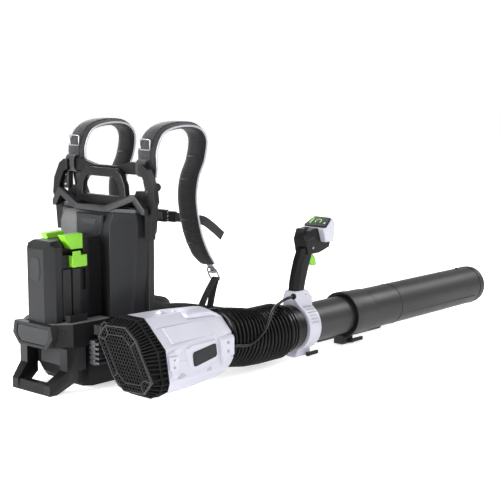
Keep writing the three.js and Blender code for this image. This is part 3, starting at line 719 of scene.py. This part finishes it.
def add_housing_panels():
    # raised field on the outer side, two bosses beside it and a panel above
    raised_field("housing_field", OUTER_FACET,
                 [(0.004, 0.12), (0.020, 0.02), (0.112, 0.03), (0.1185, 0.22), (0.118, 0.62),
                  (0.104, 0.80), (0.030, 0.90), (0.010, 0.66)], 0.0055, 0.13)
    raised_field("housing_boss_rear", OUTER_FACET,
                 [(-0.056, 0.10), (-0.034, 0.06), (-0.032, 0.92), (-0.054, 0.88)], 0.0050, 0.16)
    raised_field("housing_boss_front", OUTER_FACET,
                 [(0.1245, 0.05), (0.158, 0.03), (0.160, 0.86), (0.1265, 0.94)], 0.0065, 0.16)
    raised_field("housing_upper_panel", UPPER_FACET,
                 [(-0.030, 0.16), (0.108, 0.16), (0.118, 0.40), (0.118, 0.86), (-0.030, 0.86)],
                 0.0018, 0.05)
    facet_plate("housing_seam", rectangle(-0.0600, 0.1860, 0.430, 0.448), 0.0004, 0.001,
                LIGHT_PAINTED_SHADE, 0.0)
    # plain badge plate on the field
    facet_plate("housing_badge", [(0.022, 0.36), (0.027, 0.27), (0.104, 0.17), (0.109, 0.20),
                                  (0.109, 0.52), (0.103, 0.60), (0.029, 0.72), (0.022, 0.69)],
                0.0068, 0.003, PLATE, 0.0008)
    facet_plate("housing_badge_inlay", [(0.028, 0.39), (0.031, 0.33), (0.100, 0.235), (0.104, 0.26),
                                        (0.104, 0.48), (0.100, 0.535), (0.033, 0.655), (0.028, 0.63)],
                0.0074, 0.002, TEXTURED, 0.0005)
    # small pad and shaded windows round the field
    facet_plate("housing_pad_upper", [(-0.034, 0.07), (-0.012, 0.02), (-0.004, 0.06),
                                      (-0.022, 0.30), (-0.040, 0.34)], 0.0016, 0.003, LIGHT, 0.0012)
    for end, outline in (("rear", [(-0.036, 0.93), (-0.016, 0.80), (0.000, 0.90), (-0.018, 0.985)]),
                         ("front", [(0.072, 0.90), (0.090, 0.86), (0.090, 0.985), (0.072, 0.99)])):
        facet_plate(f"housing_window_{end}", outline, 0.0004, 0.002, LIGHT_PAINTED_SHADE, 0.0003)


def add_housing():
    add_housing_panels()
    for name, x, y, heights, radius in (("boss_screw", -0.044, -0.3368, (0.104, 0.086), 0.0034),
                                        ("front_boss_screw", 0.154, -0.3268, (0.113, 0.090), 0.0038)):
        for z in heights:
            screw(f"{name}_{int(z * 1000)}", (x, y, z), (0, -1, 0), radius)
    # two small clips on the top edge
    for i, x in enumerate((0.019, 0.065)):
        z = 0.194 - 0.004 * i
        clip = merged([box_at((x, -0.224, z), (0.020, 0.016, 0.007)),
                       box_at((x, -0.224, z + 0.004), (0.012, 0.010, 0.004))])
        new_piece(f"housing_clip_{i}", clip, LIGHT, 0.001)
    # dome over the front of the fan duct
    y0, y1, steps = BLOWER_Y - 0.034, BLOWER_Y + 0.044, 12
    rows = []
    for k in range(steps + 1):
        a = math.pi * k / steps
        x = 0.118 - 0.058 * math.cos(a)
        lift = 0.012 * math.sin(a) ** 0.8
        base = on_facet(TOP_FACET, min(x, 0.186), 0.5).z
        crown = [Vector((x, y0 + (y1 - y0) * m / steps,
                         base - 0.004 + lift * math.sin(math.pi * m / steps) ** 0.7))
                 for m in range(steps + 1)]
        rows.append(crown + [Vector((x, y, base - 0.012)) for y in (y1, y0)])
    new_piece("housing_dome", skin(rows), LIGHT)


# ---- Intake cage --------------------------------------------------------------------------
def reach(polygon, angle):
    """Distance from the centre to a polygon's edge at one angle."""
    d = (math.cos(angle), math.sin(angle))
    best = 1e9
    for (ax, ay), (bx, by) in zip(polygon, polygon[1:] + polygon[:1]):
        ex, ey = bx - ax, by - ay
        den = d[0] * ey - d[1] * ex
        if abs(den) < 1e-9:
            continue
        t = (ax * ey - ay * ex) / den
        s = (ax * d[1] - ay * d[0]) / den
        if t > 0 and -1e-6 <= s <= 1 + 1e-6:
            best = min(best, t)
    return best


def cage_point(x, polygon, angle, inset=0.0):
    """A point on the cage's outline at one angle, inset in millimetres."""
    r = reach(polygon, angle) - inset
    return about_fan(x, r * math.cos(angle), r * math.sin(angle))


def cage_loop(x, polygon, inset, count=CAGE_SIDES):
    return [cage_point(x, polygon, 2 * math.pi * k / count, inset) for k in range(count)]


def inside(polygon, y, z):
    return math.hypot(y, z) < reach(polygon, math.atan2(z, y))


def polygon_bar(polygon, x0, x1, width):
    """A bar that follows a polygon, width in mm measured inwards."""
    rows = []
    for x, k in ((x0, 0), (x1, 0), (x1, 1), (x0, 1)):
        corners = [Vector(c) - Vector(c).normalized() * width * k * CORNER_STRETCH for c in polygon]
        rows.append([about_fan(x, *corner) for corner in corners])
    return skin(rows, ring=True)


def shrink(polygon, amount):
    """Offsets a convex polygon inwards."""
    out = []
    for i, b in enumerate(polygon):
        a, b, c = Vector(polygon[i - 1]), Vector(b), Vector(polygon[(i + 1) % len(polygon)])
        u, v = (b - a).normalized(), (c - b).normalized()
        turn = 1 if (u.x * v.y - u.y * v.x) > 0 else -1
        nu = Vector((-u.y, u.x)) * turn
        nv = Vector((-v.y, v.x)) * turn
        out.append(tuple(b + (nu + nv) * (amount / (1 + nu.dot(nv)))))
    return out


def flat_bar(p, q, half, x0, x1):
    """A straight bar from p to q, (y, z) in mm from the fan's axis, between two x."""
    d = (q - p).normalized()
    side = Vector((-d.y, d.x)) * half
    loop = [p - side, q - side, q + side, p + side]
    return skin([[about_fan(x, *corner) for corner in loop] for x in (x0, x1)])


def honeycomb(polygon, x0, x1):
    """Hexagonal mesh bars inside a polygon."""
    parts = []
    r = MESH_PITCH / math.sqrt(3)
    cells = range(-MESH_CELLS, MESH_CELLS + 1)
    done = set()
    for row, col in ((row, col) for row in cells for col in cells):
        centre = Vector((MESH_PITCH * (col + 0.5 * (row % 2)), 1.5 * r * row))
        corners = [centre + r * Vector((math.cos(a), math.sin(a)))
                   for a in (math.radians(60 * k - 30) for k in range(7))]
        for p, q in zip(corners, corners[1:]):
            middle = (p + q) / 2
            key = (round(middle.x * 4), round(middle.y * 4))
            if key in done or not (inside(polygon, *p) and inside(polygon, *q)):
                continue
            done.add(key)
            parts.append(flat_bar(p, q, MESH_WALL / 2, x0, x1))
    return merged(parts)


def add_cage():
    inner = shrink(FACE, 21)
    # tapered wall under the ribs, out along its face and back inside it
    rows = [cage_loop(x, polygon, inset) for x, polygon, inset in (
        (-0.1135, FACE, 1), (-0.104, FACE, 0), (-0.084, WIDE, 7), (-0.0625, WIDE, 6),
        (-0.0625, WIDE, 9), (-0.084, WIDE, 10), (-0.104, FACE, 5), (-0.1135, FACE, 5))]
    shell = new_piece("cage_wall", skin(rows, ring=True), CAGE, 0.0006)
    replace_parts(shell, "intake_cage")
    # ribs that run from the face to the housing, with scalloped ends
    parts = []
    for k in range(CAGE_FINS):
        angle = 2 * math.pi * (k + 0.5) / CAGE_FINS
        side = Vector((0, -math.sin(angle), math.cos(angle))) * FIN_HALF
        loop = [cage_point(x, polygon, angle, inset) for x, polygon, inset in (
            (-0.1190, FACE, 0.6), (-0.0850, WIDE, 1.0), (-0.0628, WIDE, 0.0),
            (-0.0628, WIDE, 8), (-0.0850, WIDE, 9), (-0.1120, FACE, 4))]
        parts.append(skin([[p - side for p in loop], [p + side for p in loop]]))
    new_piece("cage_ribs", merged(parts), CAGE, 0.0004, segments=1)
    # rim against the housing, middle band, face frame and its struts
    rims = [polygon_bar(WIDE, -0.0655, -0.0622, 5), polygon_bar(shrink(WIDE, 0.8), -0.087, -0.0835, 5)]
    new_piece("cage_rims", merged(rims), CAGE, 0.0006)
    bars = [polygon_bar(FACE, -0.1198, -0.1130, 2.8), polygon_bar(inner, -0.1212, -0.1140, 1.9)]
    bars += [flat_bar(Vector(FACE[i]), Vector(inner[i]), 1.1, -0.1198, -0.1140)
             for i in (0, 1, 3, 4, 5, 7)]
    new_piece("cage_face_frame", merged(bars), HIGHLIT_BLACK, 0.0007)
    new_piece("cage_mesh", honeycomb(shrink(FACE, 3), -0.1185, -0.1135), CAGE)
    # dark sheet inside the cage, painted shade that stands in for the darkness inside and hides the duct
    screen = slab(cage_loop(-0.098, FACE, 5, 64), (1, 0, 0), 0.0012)
    new_piece("cage_painted_shade_sheet", screen, CAGE)
    # tether eye at the upper inner corner
    centre = about_fan(-0.100, 93, 62)
    eye = [centre + Vector((0.004 * s, 0.0105 * c, 0.0125 * s)) for c, s in circle(28)]
    new_piece("cage_eye", tube_along(eye, 0.0017, 10, closed=True), HIGHLIT_BLACK)


# ---- Straps and soft goods ----------------------------------------------------------------
# the strap's middle line from the frame over the shoulder to its ring, in (x, z)
STRAP_PATH = [(0.066, 0.522), (0.066, 0.555), (0.067, 0.592), (0.092, 0.632), (0.148, 0.647),
              (0.212, 0.642), (0.243, 0.613), (0.236, 0.560), (0.212, 0.510), (0.205, 0.450),
              (0.222, 0.370), (0.250, 0.312), (0.276, 0.280)]


def strap_piece(name, y, profile, look, start=0.0, end=1.0, count=120, taper=0.0):
    """Sweeps a closed (across, out) profile in metres along part of the strap."""
    path = spline(at_y(0, STRAP_PATH), STRAP_STEPS)
    # the strap's outer face, away from the wearer's shoulder
    outward = [Vector((-t.z, 0, t.x)) for t in tangents(path)]
    rows = []
    for i in range(count):
        at = (start + (end - start) * i / (count - 1)) * (STRAP_STEPS - 1)
        k = min(int(at), STRAP_STEPS - 2)
        p = path[k].lerp(path[k + 1], at - k)
        o = outward[k].lerp(outward[k + 1], at - k).normalized()
        squeeze = 1.0
        if taper:
            left = min(i, count - 1 - i) / (count * taper)
            squeeze = 0.35 + 0.65 * math.sin(min(left, 1) * math.pi / 2)
        rows.append([Vector((p.x, y, p.z)) + o * h * (0.6 + 0.4 * squeeze)
                     + Vector((0, w * (0.75 + 0.25 * squeeze), 0)) for w, h in profile])
    return new_piece(name, skin(rows), look)


def pad_profile(crown=0.95):
    """A padded section: a thin welt at each edge, crowned in the middle."""
    half, steps = PAD_WIDTH / 2, 18
    top = []
    for k in range(steps + 1):
        w = -half + PAD_WIDTH * k / steps
        s = 1 - abs(w / half) ** 4
        groove = 0.0014 * math.exp(-((abs(w) - half * 0.80) / 0.0022) ** 2)
        top.append((w, WELT + (PAD_THICKNESS / 2 - WELT) * s - groove))
    return top + [(w, -h * crown) for w, h in reversed(top)]


def round_profile(w, radius):
    """A round section for strap_piece, centred w across the strap."""
    return [(w + radius * c, radius * s) for c, s in circle(10)]


def flat_profile(width, low, high):
    """A flat section for strap_piece, its top edges eased."""
    half, edge = width / 2, high - 0.0004
    return [(-half, low), (half, low), (half, edge), (half - 0.001, high),
            (0.001 - half, high), (-half, edge)]


def add_straps():
    for side, sign in SIDES:
        y = sign * STRAP_Y
        pad = strap_piece(f"shoulder_pad_{side}", y, pad_profile(), FABRIC, taper=0.05, count=PAD_STEPS)
        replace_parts(pad, f"shoulder_strap_{side}")
        for edge in (-1, 1):
            strap_piece(f"piping_{side}_{'in' if edge * sign < 0 else 'out'}", y,
                        round_profile(edge * (PAD_WIDTH / 2 - 0.0008), PIPING_RADIUS), PIPING,
                        taper=0.05, count=PAD_STEPS)
        strap_piece(f"strap_webbing_{side}", y, flat_profile(0.038, 0.0076, 0.0106), WEBBING, end=0.97)
        # stitched bars across the front pad
        for i, at in enumerate((0.52, 0.62, 0.78, 0.83, 0.88)):
            strap_piece(f"strap_bar_{side}_{i}", y, flat_profile(0.052, -0.0098, -0.0078), WEBBING,
                        start=at, end=at + 0.006, count=4)
        # webbing loop round the crossbar
        path = spline(at_y(y, [(0.058, 0.560), (0.048, 0.566), (0.040, 0.556), (0.041, 0.532),
                               (0.050, 0.524)]), 24)
        new_piece(f"strap_root_loop_{side}", ribbon(path, 0.034, 0.0026), WEBBING, 0.0005)
        # wire ladder lock on the strap's rear face, its corners kept square by points near them
        centre = Vector((0.0560, y, 0.604))
        loop = [centre + Vector((0, a, b)) for a, b in rectangle(-0.018, 0.018, -0.013, 0.013)]
        wires = [a.lerp(b, f) for a, b in zip(loop, loop[1:] + loop[:1]) for f in (0.06, 0.5, 0.94)]
        lock = new_piece(f"ladder_lock_{side}", tube_along(wires, 0.0015, 10, closed=True), WIRE)
        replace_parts(lock, f"strap_adjuster_{side}")


def add_ring_and_webbing():
    for side, sign in SIDES:
        y = sign * (STRAP_Y + 0.004)
        # bent metal ring that holds the lower webbing
        centre = Vector((0.294, y, 0.249))
        loop = [centre + Vector((0.010 * a, dy, 0.0165 * b))
                for dy, a, b in ((-0.014, -0.6, 0.9), (0.0, -0.7, 1.0), (0.014, -0.6, 0.9),
                                 (0.0175, 0, 0.2), (0.0165, 0.8, -0.8), (0.008, 1.0, -1.0),
                                 (-0.008, 1.0, -1.0), (-0.0165, 0.8, -0.8), (-0.0175, 0, 0.2))]
        ring = tube_along(spline_loop(loop, 40), 0.0022, 12, closed=True)
        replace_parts(new_piece(f"strap_ring_{side}", ring, WIRE), f"lower_ring_{side}")
        # tab of light piping that carries the ring
        path = spline(at_y(y, [(0.272, 0.286), (0.284, 0.272), (0.292, 0.263), (0.297, 0.258),
                               (0.293, 0.251), (0.286, 0.256)]), 26)
        new_piece(f"ring_tab_{side}", ribbon(path, 0.022, 0.0028), PIPING, 0.0006)
        # the two lower webbing runs, with a little slack
        runs = [[(0.297, 0.240), (0.268, 0.206), (0.243, 0.170), (0.216, 0.126)],
                [(0.301, 0.240), (0.288, 0.206), (0.277, 0.168), (0.265, 0.126)]]
        webbing = merged([ribbon(spline(at_y(sign * BELT_Y, run), 30), 0.022, 0.0024)
                          for run in runs])
        obj = new_piece(f"belt_webbing_{side}", webbing, WEBBING, 0.0006)
        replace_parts(obj, f"lower_webbing_{side}")


def bake_modifiers(obj):
    """The object's evaluated mesh takes the place of its own."""
    graph = bpy.context.evaluated_depsgraph_get()
    baked = bpy.data.meshes.new_from_object(obj.evaluated_get(graph))
    obj.modifiers.clear()
    obj.data = baked


def inflate(obj, pressure):
    """Swells the pad with Cloth under pressure and keeps the settled mesh."""
    cloth = obj.modifiers.new("cloth", "CLOTH")
    cloth.settings.use_pressure = True
    cloth.settings.uniform_pressure_force = pressure
    cloth.settings.effector_weights.gravity = 0.0
    cloth.point_cache.frame_start, cloth.point_cache.frame_end = 1, CLOTH_FRAMES
    for number in range(1, CLOTH_FRAMES + 1):
        SCENE.frame_set(number)
    bake_modifiers(obj)
    SCENE.frame_set(1)


def cloth_pad(name, rows, node_name, channels, pressure=3.5, cap=0.008):
    """A stuffed pad: a shrunk shell is inflated, then its seams are drawn in."""
    obj = new_piece(name, skin(rows), FABRIC, body=None)
    remesh = obj.modifiers.new("remesh", "REMESH")
    remesh.mode = "VOXEL"
    remesh.voxel_size = VOXEL
    bpy.context.view_layer.update()
    bake_modifiers(obj)
    rest = [v.co.copy() for v in obj.data.vertices]
    middle = (min(p.x for p in rest) + max(p.x for p in rest)) / 2
    inflate(obj, pressure)
    for v, start in zip(obj.data.vertices, rest):
        move = v.co - start
        if move.length > cap:
            v.co = start + move.normalized() * cap
        for at, depth, axis in channels:
            if v.co.x > middle:
                v.co.x -= depth * math.exp(-((v.co[axis] - at) / CHANNEL_WIDTH) ** 2)
    if not obj.data.materials:
        obj.data.materials.append(FABRIC)
    for poly in obj.data.polygons:
        poly.use_smooth = True
    finer = obj.modifiers.new("finer", "SUBSURF")
    finer.levels = finer.render_levels = 1
    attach(obj, "pack")
    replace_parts(obj, node_name)


def pad_rows(node_name, half_low, half_high, corner=0.03):
    """Rows across a rounded panel that stands up in the node's box, from back to front."""
    lo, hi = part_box(node_name)
    x0, x1, z0, z1 = lo.x, hi.x - 0.006, lo.z + 0.003, hi.z - 0.003
    rows = []
    for x, shrunk in ((x0, 0.004), (x0 + 0.004, 0.0), (x1 - 0.008, 0.002), (x1, 0.010)):
        row = []
        for cy, cz, start in ((half_high - corner, z1 - corner, 0),
                              (-half_high + corner, z1 - corner, 90),
                              (-half_low + corner, z0 + corner, 180),
                              (half_low - corner, z0 + corner, 270)):
            for a in (math.radians(start + 15 * k) for k in range(7)):
                row.append(Vector((x, cy + (corner - shrunk) * math.cos(a),
                                   cz + (corner - shrunk) * math.sin(a))))
        rows.append(row)
    return rows


def add_pads():
    # channels: place, depth and axis number of each sewn groove
    cloth_pad("back_cushion", pad_rows("back_pad", 0.096, 0.104), "back_pad",
              [(0.290, 0.006, 2), (0.350, 0.006, 2), (0.0, 0.007, 1)])
    cloth_pad("lumbar_cushion", pad_rows("lumbar_pad", 0.102, 0.102), "lumbar_pad",
              [(0.155, 0.006, 2), (0.0, 0.007, 1)])


def add_hip_wings():
    outline = [(0.0735, 0.110), (0.0735, 0.194), (0.130, 0.187), (0.200, 0.178), (0.290, 0.158),
               (0.362, 0.141), (0.384, 0.128), (0.386, 0.116), (0.366, 0.103), (0.290, 0.098),
               (0.200, 0.096), (0.130, 0.102)]
    middle = Vector((0.21, 0, 0.14))
    line = spline_loop(at_y(0, outline), 72)
    for side, sign in SIDES:
        y = sign * HIP_Y
        rows = []
        for dy, k in ((-0.0020, 0.0), (-0.0070, 0.045), (-0.0082, 0.14), (-0.0088, 0.45)):
            rows.append([p.lerp(middle, k) + Vector((0, y + dy, 0)) for p in line])
        rows = rows[::-1] + [[q + Vector((0, 2 * (y - q.y), 0)) for q in row] for row in rows]
        wing = new_piece(f"hip_wing_{side}", skin(rows), FABRIC)
        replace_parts(wing, f"hip_belt_{side}")
        edge = [Vector((p.x, y, p.z)) for p in line]
        new_piece(f"hip_piping_{side}", tube_along(edge, 0.0034, 10, closed=True), FABRIC)
        strap_line = spline([(x, y + sign * out, z) for x, out, z in (
            (0.120, 0.0098, 0.146), (0.22, 0.0098, 0.138), (0.32, 0.0096, 0.126),
            (0.372, 0.0092, 0.122))], 30)
        rows = [[p + Vector((0, a * 0.0012, b * 0.016)) for a, b in ((-1, -1), (-1, 1), (1, 1), (1, -1))]
                for p in strap_line]
        new_piece(f"hip_webbing_{side}", skin(rows), WEBBING, 0.0005)


def add_chest_strap():
    # loose tail of the chest webbing, outside the right strap
    path = spline([(0.214, -0.166, CHEST_Z), (0.232, -0.171, 0.398), (0.262, -0.173, 0.378),
                   (0.296, -0.173, 0.353)], 28)
    new_piece("chest_tail", ribbon(path, 0.024, 0.0022, upright=True), WEBBING, 0.0005)
    # buckle halves: a frame with three prongs, and its open socket
    prongs = merged([box_at((0.2128, -0.0568, CHEST_Z + dz), (0.004, 0.0075, 0.0042))
                     for dz in (-0.010, 0.0, 0.010)])
    new_piece("buckle_prongs", prongs, LIGHT, 0.0008)
    trim = merged([box_at((0.2128, -0.0600, CHEST_Z), (0.0075, 0.0030, 0.027)),
                   box_at((0.2055, -0.0285, CHEST_Z), (0.0030, 0.026, 0.020))])
    new_piece("buckle_trim", trim, HIGHLIT_BLACK, 0.0008)


# ---- Dock, shell and base details ---------------------------------------------------------
def oval(z, radius_y, radius_z):
    """A rounded upright outline in (y, z) about Y 0."""
    return [(radius_y * math.copysign(abs(c) ** (2 / 3), c),
             z + radius_z * math.copysign(abs(s) ** (2 / 3), s)) for c, s in circle(40)]


def rear_plate(name, outline, x, thickness, look, bevel):
    """A plate on a face that looks along -X, its outline in (y, z)."""
    new_piece(name, slab([(x, y, z) for y, z in outline], (-1, 0, 0), thickness), look, bevel)


def rear_panel(name, outline, x, lift, taper, look):
    """A raised panel with sloping flanks on a face that looks along -X, its outline in (y, z)."""
    rows = [[Vector((at, y, z)) for y, z in line] for at, line in (
        (x + 0.003, outline), (x, outline), (x - lift, towards_middle(outline, taper)))]
    new_piece(name, skin(rows), look, 0.0008)


def add_dock_details():
    rear_plate("dock_badge", oval(0.306, 0.0185, 0.030), -0.1898, 0.0014, PLATE, 0.0006)
    rear_plate("dock_badge_inlay", oval(0.306, 0.0150, 0.0262), -0.1910, 0.0006, TEXTURED, 0.0003)
    # blank plate on the wall behind the foot loop
    rear_plate("rating_plate", rectangle(-0.048, 0.050, 0.058, 0.106), -0.1374, 0.0010, LABEL, 0.0003)
    # plain badge plate in the bumper's recess
    rear_plate("bumper_badge", [(-0.046, 0.122), (0.046, 0.122), (0.0605, 0.139), (0.0565, 0.163),
                                (-0.0565, 0.163), (-0.0605, 0.139)], -0.2022, 0.0014, PLATE, 0.0008)
    # light textured deck on the base, round the dock
    half = [(-0.182, -0.058), (-0.150, -0.087), (-0.052, -0.093), (-0.030, -0.090),
            (-0.030, -0.052), (-0.146, -0.0535), (-0.168, -0.0535), (-0.1855, -0.034)]
    outline = half + [(x, -y) for x, y in reversed(half)]
    deck = slab([(x, y, DECK_Z) for x, y in outline], (0, 0, 1), 0.0016)
    new_piece("base_deck", deck, DECK, 0.0005)
    for side, sign in SIDES:
        # round socket on the rear corner of the base
        a, b = Vector((-0.184, sign * 0.062, 0)), Vector((-0.150, sign * 0.091, 0))
        n = (b - a).cross(Z_AXIS).normalized()
        if n.x > 0:
            n = -n
        p = a.lerp(b, 0.45) + Vector((0, 0, 0.153)) + n * 0.0004
        new_piece(f"corner_socket_{side}", peg(p, n, 0.0062, 0.0012), HOSE, 0.0005)
        new_piece(f"corner_socket_bore_{side}", peg(p, n, 0.0040, 0.0016), BLACK)
        # rib moulded on the dock's flank
        outline = rectangle(-0.112, -0.104, 0.200, 0.286)
        rib = slab(at_y(sign * DOCK_FLANK_Y, outline), (0, sign, 0), 0.0009)
        new_piece(f"rail_rib_{side}_0", rib, CHARCOAL, 0.0003)


def add_shell_details():
    rear_panel("shell_crown", [(-0.052, 0.428), (0.052, 0.428), (0.050, 0.404), (0.036, 0.368),
                               (-0.036, 0.368), (-0.050, 0.404)], -0.0120, 0.0045, 0.10, CHARCOAL)
    rear_panel("shell_crown_inset", [(-0.030, 0.414), (0.030, 0.414), (0.024, 0.400),
                                     (-0.024, 0.400)], -0.0168, 0.0012, 0.12, TEXTURED)
    for side, sign in SIDES:
        cheek = box_at((-0.1235, sign * 0.0740, 0.0838), (0.026, 0.032, 0.0594))
        new_piece(f"foot_cheek_{side}", cheek, CHARCOAL, 0.0012)
        anchor = spline(at_y(sign * STRAP_Y, [(0.0665, 0.534), (0.0690, 0.510), (0.0745, 0.482),
                                              (0.0745, 0.430)]), 20)
        new_piece(f"strap_anchor_{side}", ribbon(anchor, 0.042, 0.0028), WEBBING, 0.0006)
        shroud = merged([box_at((-0.117, sign * 0.0725, 0.182), (0.056, 0.0020, 0.018)),
                         box_at((-0.145, sign * 0.0640, 0.182), (0.0020, 0.017, 0.018))])
        new_piece(f"terminal_shroud_{side}", shroud, BLACK, 0.0006)
        # stepped ribs on the frame's side column
        column = merged([box_at((0.061, sign * 0.1475, 0.334), (0.018, 0.006, 0.090)),
                         box_at((0.061, sign * 0.1475, 0.240), (0.018, 0.004, 0.112))])
        new_piece(f"frame_column_{side}", column, CHARCOAL, 0.0016)
        # strap adjuster knob beside the crossbar
        knob = [loop_about(Vector((0.056, sign * (0.168 + h), BRACKET_Z)), r, X_AXIS, Z_AXIS, 24)
                for h, r in ((0.0, 0.0105), (0.004, 0.0112), (0.012, 0.0100), (0.016, 0.0070))]
        new_piece(f"frame_knob_{side}", skin(knob), BLACK, 0.001)
        # bracket under the knob that ties the arm to the crossbar
        bracket = box_at((0.052, sign * BRACKET_Y, BRACKET_Z), (0.018, 0.022, 0.046))
        new_piece(f"frame_bracket_{side}", bracket, CHARCOAL, 0.003)
        for z in (0.488, 0.514):
            name = f"bracket_screw_{side}_{int(z * 1000)}"
            screw(name, (0.0425, sign * BRACKET_Y, z), (-1, 0, 0), 0.0032)


# ---- Handle and nozzle details ------------------------------------------------------------
def add_display():
    """Dark frame round the screen, a plain ring gauge, four bars and one mark."""
    low, high = Vector((0.599, BLOWER_Y, 0.3548)), Vector((0.634, BLOWER_Y, 0.3763))
    length = (high - low).length
    along = (high - low).normalized()
    normal = Vector((-along.z, 0, along.x))

    def at(u, v, h):
        return low + along * u + Vector((0, v, 0)) + normal * h

    def half(u):
        return 0.0396 - 0.0080 * u / length

    def mark(outline):
        return slab([at(u, v, MARK_HEIGHT) for u, v in outline], normal, MARK_THICKNESS)

    cut, first, last = 0.005, -0.0016, length + 0.0016
    frame_line = [(first, cut - half(first)), (first, half(first) - cut), (first + cut, half(first)),
                  (last - cut, half(last)), (last, half(last) - cut), (last, cut - half(last)),
                  (last - cut, -half(last)), (first + cut, -half(first))]
    rows = [[at(u, v, h) for u, v in frame_line] for h in (-0.0016, 0.0019)]
    new_piece("display_frame", skin(rows), BLACK, 0.0008, "handle")
    ring = []
    for part in range(5):
        span = [math.radians(-210 + 50 * part + 44 * k / 10) for k in range(11)]
        ring.append(mark([(length * 0.5 - r * math.sin(a), r * math.cos(a))
                          for r, angles in ((0.0105, span), (0.0078, span[::-1])) for a in angles]))
    new_piece("gauge_ring", merged(ring), GLOW, body="handle")
    bars = []
    for u in (length * (0.28 + 0.15 * k) for k in range(4)):
        bars.append(mark([(u, 0.020), (u, 0.027), (u + 0.0034, 0.027), (u + 0.0034, 0.020)]))
    new_piece("charge_bars", merged(bars), GLOW, body="handle")
    u = length * 0.3
    new_piece("mode_mark", mark([(u, -0.022), (u, -0.029), (u + 0.006, -0.029), (u + 0.006, -0.022)]),
              LIGHT, body="handle")


def add_grip_details():
    """Inset side panels, screws and pivot bolts."""
    outline = [(0.5135, 0.196), (0.531, 0.196), (0.5415, 0.240), (0.5465, 0.262), (0.5275, 0.262),
               (0.5215, 0.240)]
    for side, sign in SIDES:
        inlay = slab(at_y(BLOWER_Y + sign * 0.0168, outline), (0, sign, 0), 0.0012)
        new_piece(f"grip_inlay_{side}", inlay, GRIP, 0.0009, "handle")
        for name, x, out, z, radius, look in (("grip_screw", 0.566, 0.0222, 0.300, 0.0034, SCREW),
                                              ("boss_bolt", 0.535, 0.0216, 0.1715, 0.0040, BLACK),
                                              ("boss_bolt_low", 0.547, 0.0224, 0.158, 0.0034, BLACK)):
            screw(f"{name}_{side}", (x, BLOWER_Y + sign * out, z), (0, sign, 0), radius, "handle", look)


def on_tube(x, radius, angle):
    """A point beside the tube's axis, and the turn that lays a box flat there."""
    place = Vector((x, BLOWER_Y + radius * math.cos(angle), TUBE_Z + radius * math.sin(angle)))
    return place, Matrix.Rotation(angle - math.pi / 2, 3, "X")


def add_handle_details():
    add_display()
    add_grip_details()
    # thumb module: textured pad on the head
    lean = Matrix.Rotation(math.radians(-24), 3, "Y")
    ribs = [box_at((0.5375, BLOWER_Y, 0.330 + 0.004 * k), (0.004, 0.028, 0.0018), lean)
            for k in range(6)]
    new_piece("thumb_ribs", merged(ribs), GRIP, 0.0004, "handle")
    ribs = [box_at((0.532 + 0.006 * k, -0.2745, 0.341 + 0.0005 * k), (0.0022, 0.0016, 0.018))
            for k in range(5)]
    new_piece("cruise_ribs", merged(ribs), GRIP, 0.0004, "cruise_lever")
    # raised ribs on the clamp ring, in a long and a short set, coloured in the darker copy of the light
    # plastic as painted shade
    ribs = []
    for start, length in ((112, 0.034), (138, 0.026)):
        for k in range(4):
            place, turn = on_tube(CLAMP_X, CLAMP_RADIUS, math.radians(start + 9 * k))
            ribs.append(box_at(place, (length, 0.0026, 0.0024), turn))
    new_piece("clamp_ribs", merged(ribs), LIGHT_PAINTED_SHADE, 0.0006, "handle")


def tube_ring(name, x0, x1, r0, r1, look, body):
    """A square-edged ring about the tube's axis."""
    profile = [(x0, r0), (x0, r1), (x1, r1), (x1, r0)]
    rows = [[(x, BLOWER_Y + r * c, TUBE_Z + r * s) for x, r in profile] for c, s in circle(96)]
    new_piece(name, skin(rows, ring=True), look, 0.0007, body)


def add_tube_details():
    # rings on the hose cuff
    for i, x in enumerate((0.4325, 0.444, 0.4555)):
        tube_ring(f"cuff_ring_{i}", x, x + 0.005, 0.0635, 0.0670, HOSE, "wand")
    tube_ring("cuff_step", 0.468, 0.474, 0.0605, 0.0625, BLACK, "wand")
    # moulded steps along the nozzle
    for i, (x, r) in enumerate(((0.8180, 0.0612), (0.9440, 0.0606), (1.3800, 0.0598))):
        tube_ring(f"nozzle_step_{i}", x, x + 0.0035, r - 0.002, r + 0.0005, TUBE, "nozzle")
    tube_ring("nozzle_collar_lip", 0.7188, 0.7225, 0.0570, 0.0662, BLACK, "nozzle")
    # raised lines that run along both sides of the nozzle
    for side, degrees in (("right", 205), ("left", -25)):
        place, turn = on_tube(1.155, 0.0596, math.radians(degrees))
        line = box_at(place, (0.400, 0.0020, 0.0024), turn)
        new_piece(f"nozzle_line_{side}", line, TUBE, 0.0006, "nozzle")
    # keel under the blow tube, between the clamp's far stop and the collar's near stop
    x0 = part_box("handle_clamp")[1][0] + CLAMP_TRAVEL + KEEL_GAP
    x1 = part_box("nozzle_tube")[0][0] - COLLAR_TRAVEL - KEEL_GAP
    keel = box_at(((x0 + x1) / 2, BLOWER_Y, TUBE_Z - 0.0575), (x1 - x0, 0.022, 0.0070))
    new_piece("tube_keel", keel, TUBE, 0.0012, "wand")
    # ribs on the bracket under the collar
    ribs = [box_at((0.714 + 0.0095 * k, BLOWER_Y - 0.0165, 0.017), (0.0026, 0.0018, 0.022))
            for k in range(5)]
    new_piece("bracket_ribs", merged(ribs), BLACK, 0.0004, "nozzle")


add_camera()
add_stage()
add_cable()
add_hose()
add_cage()
add_housing()
add_straps()
add_ring_and_webbing()
add_pads()
add_hip_wings()
add_chest_strap()
add_dock_details()
add_shell_details()
add_handle_details()
add_tube_details()
dress_cad()
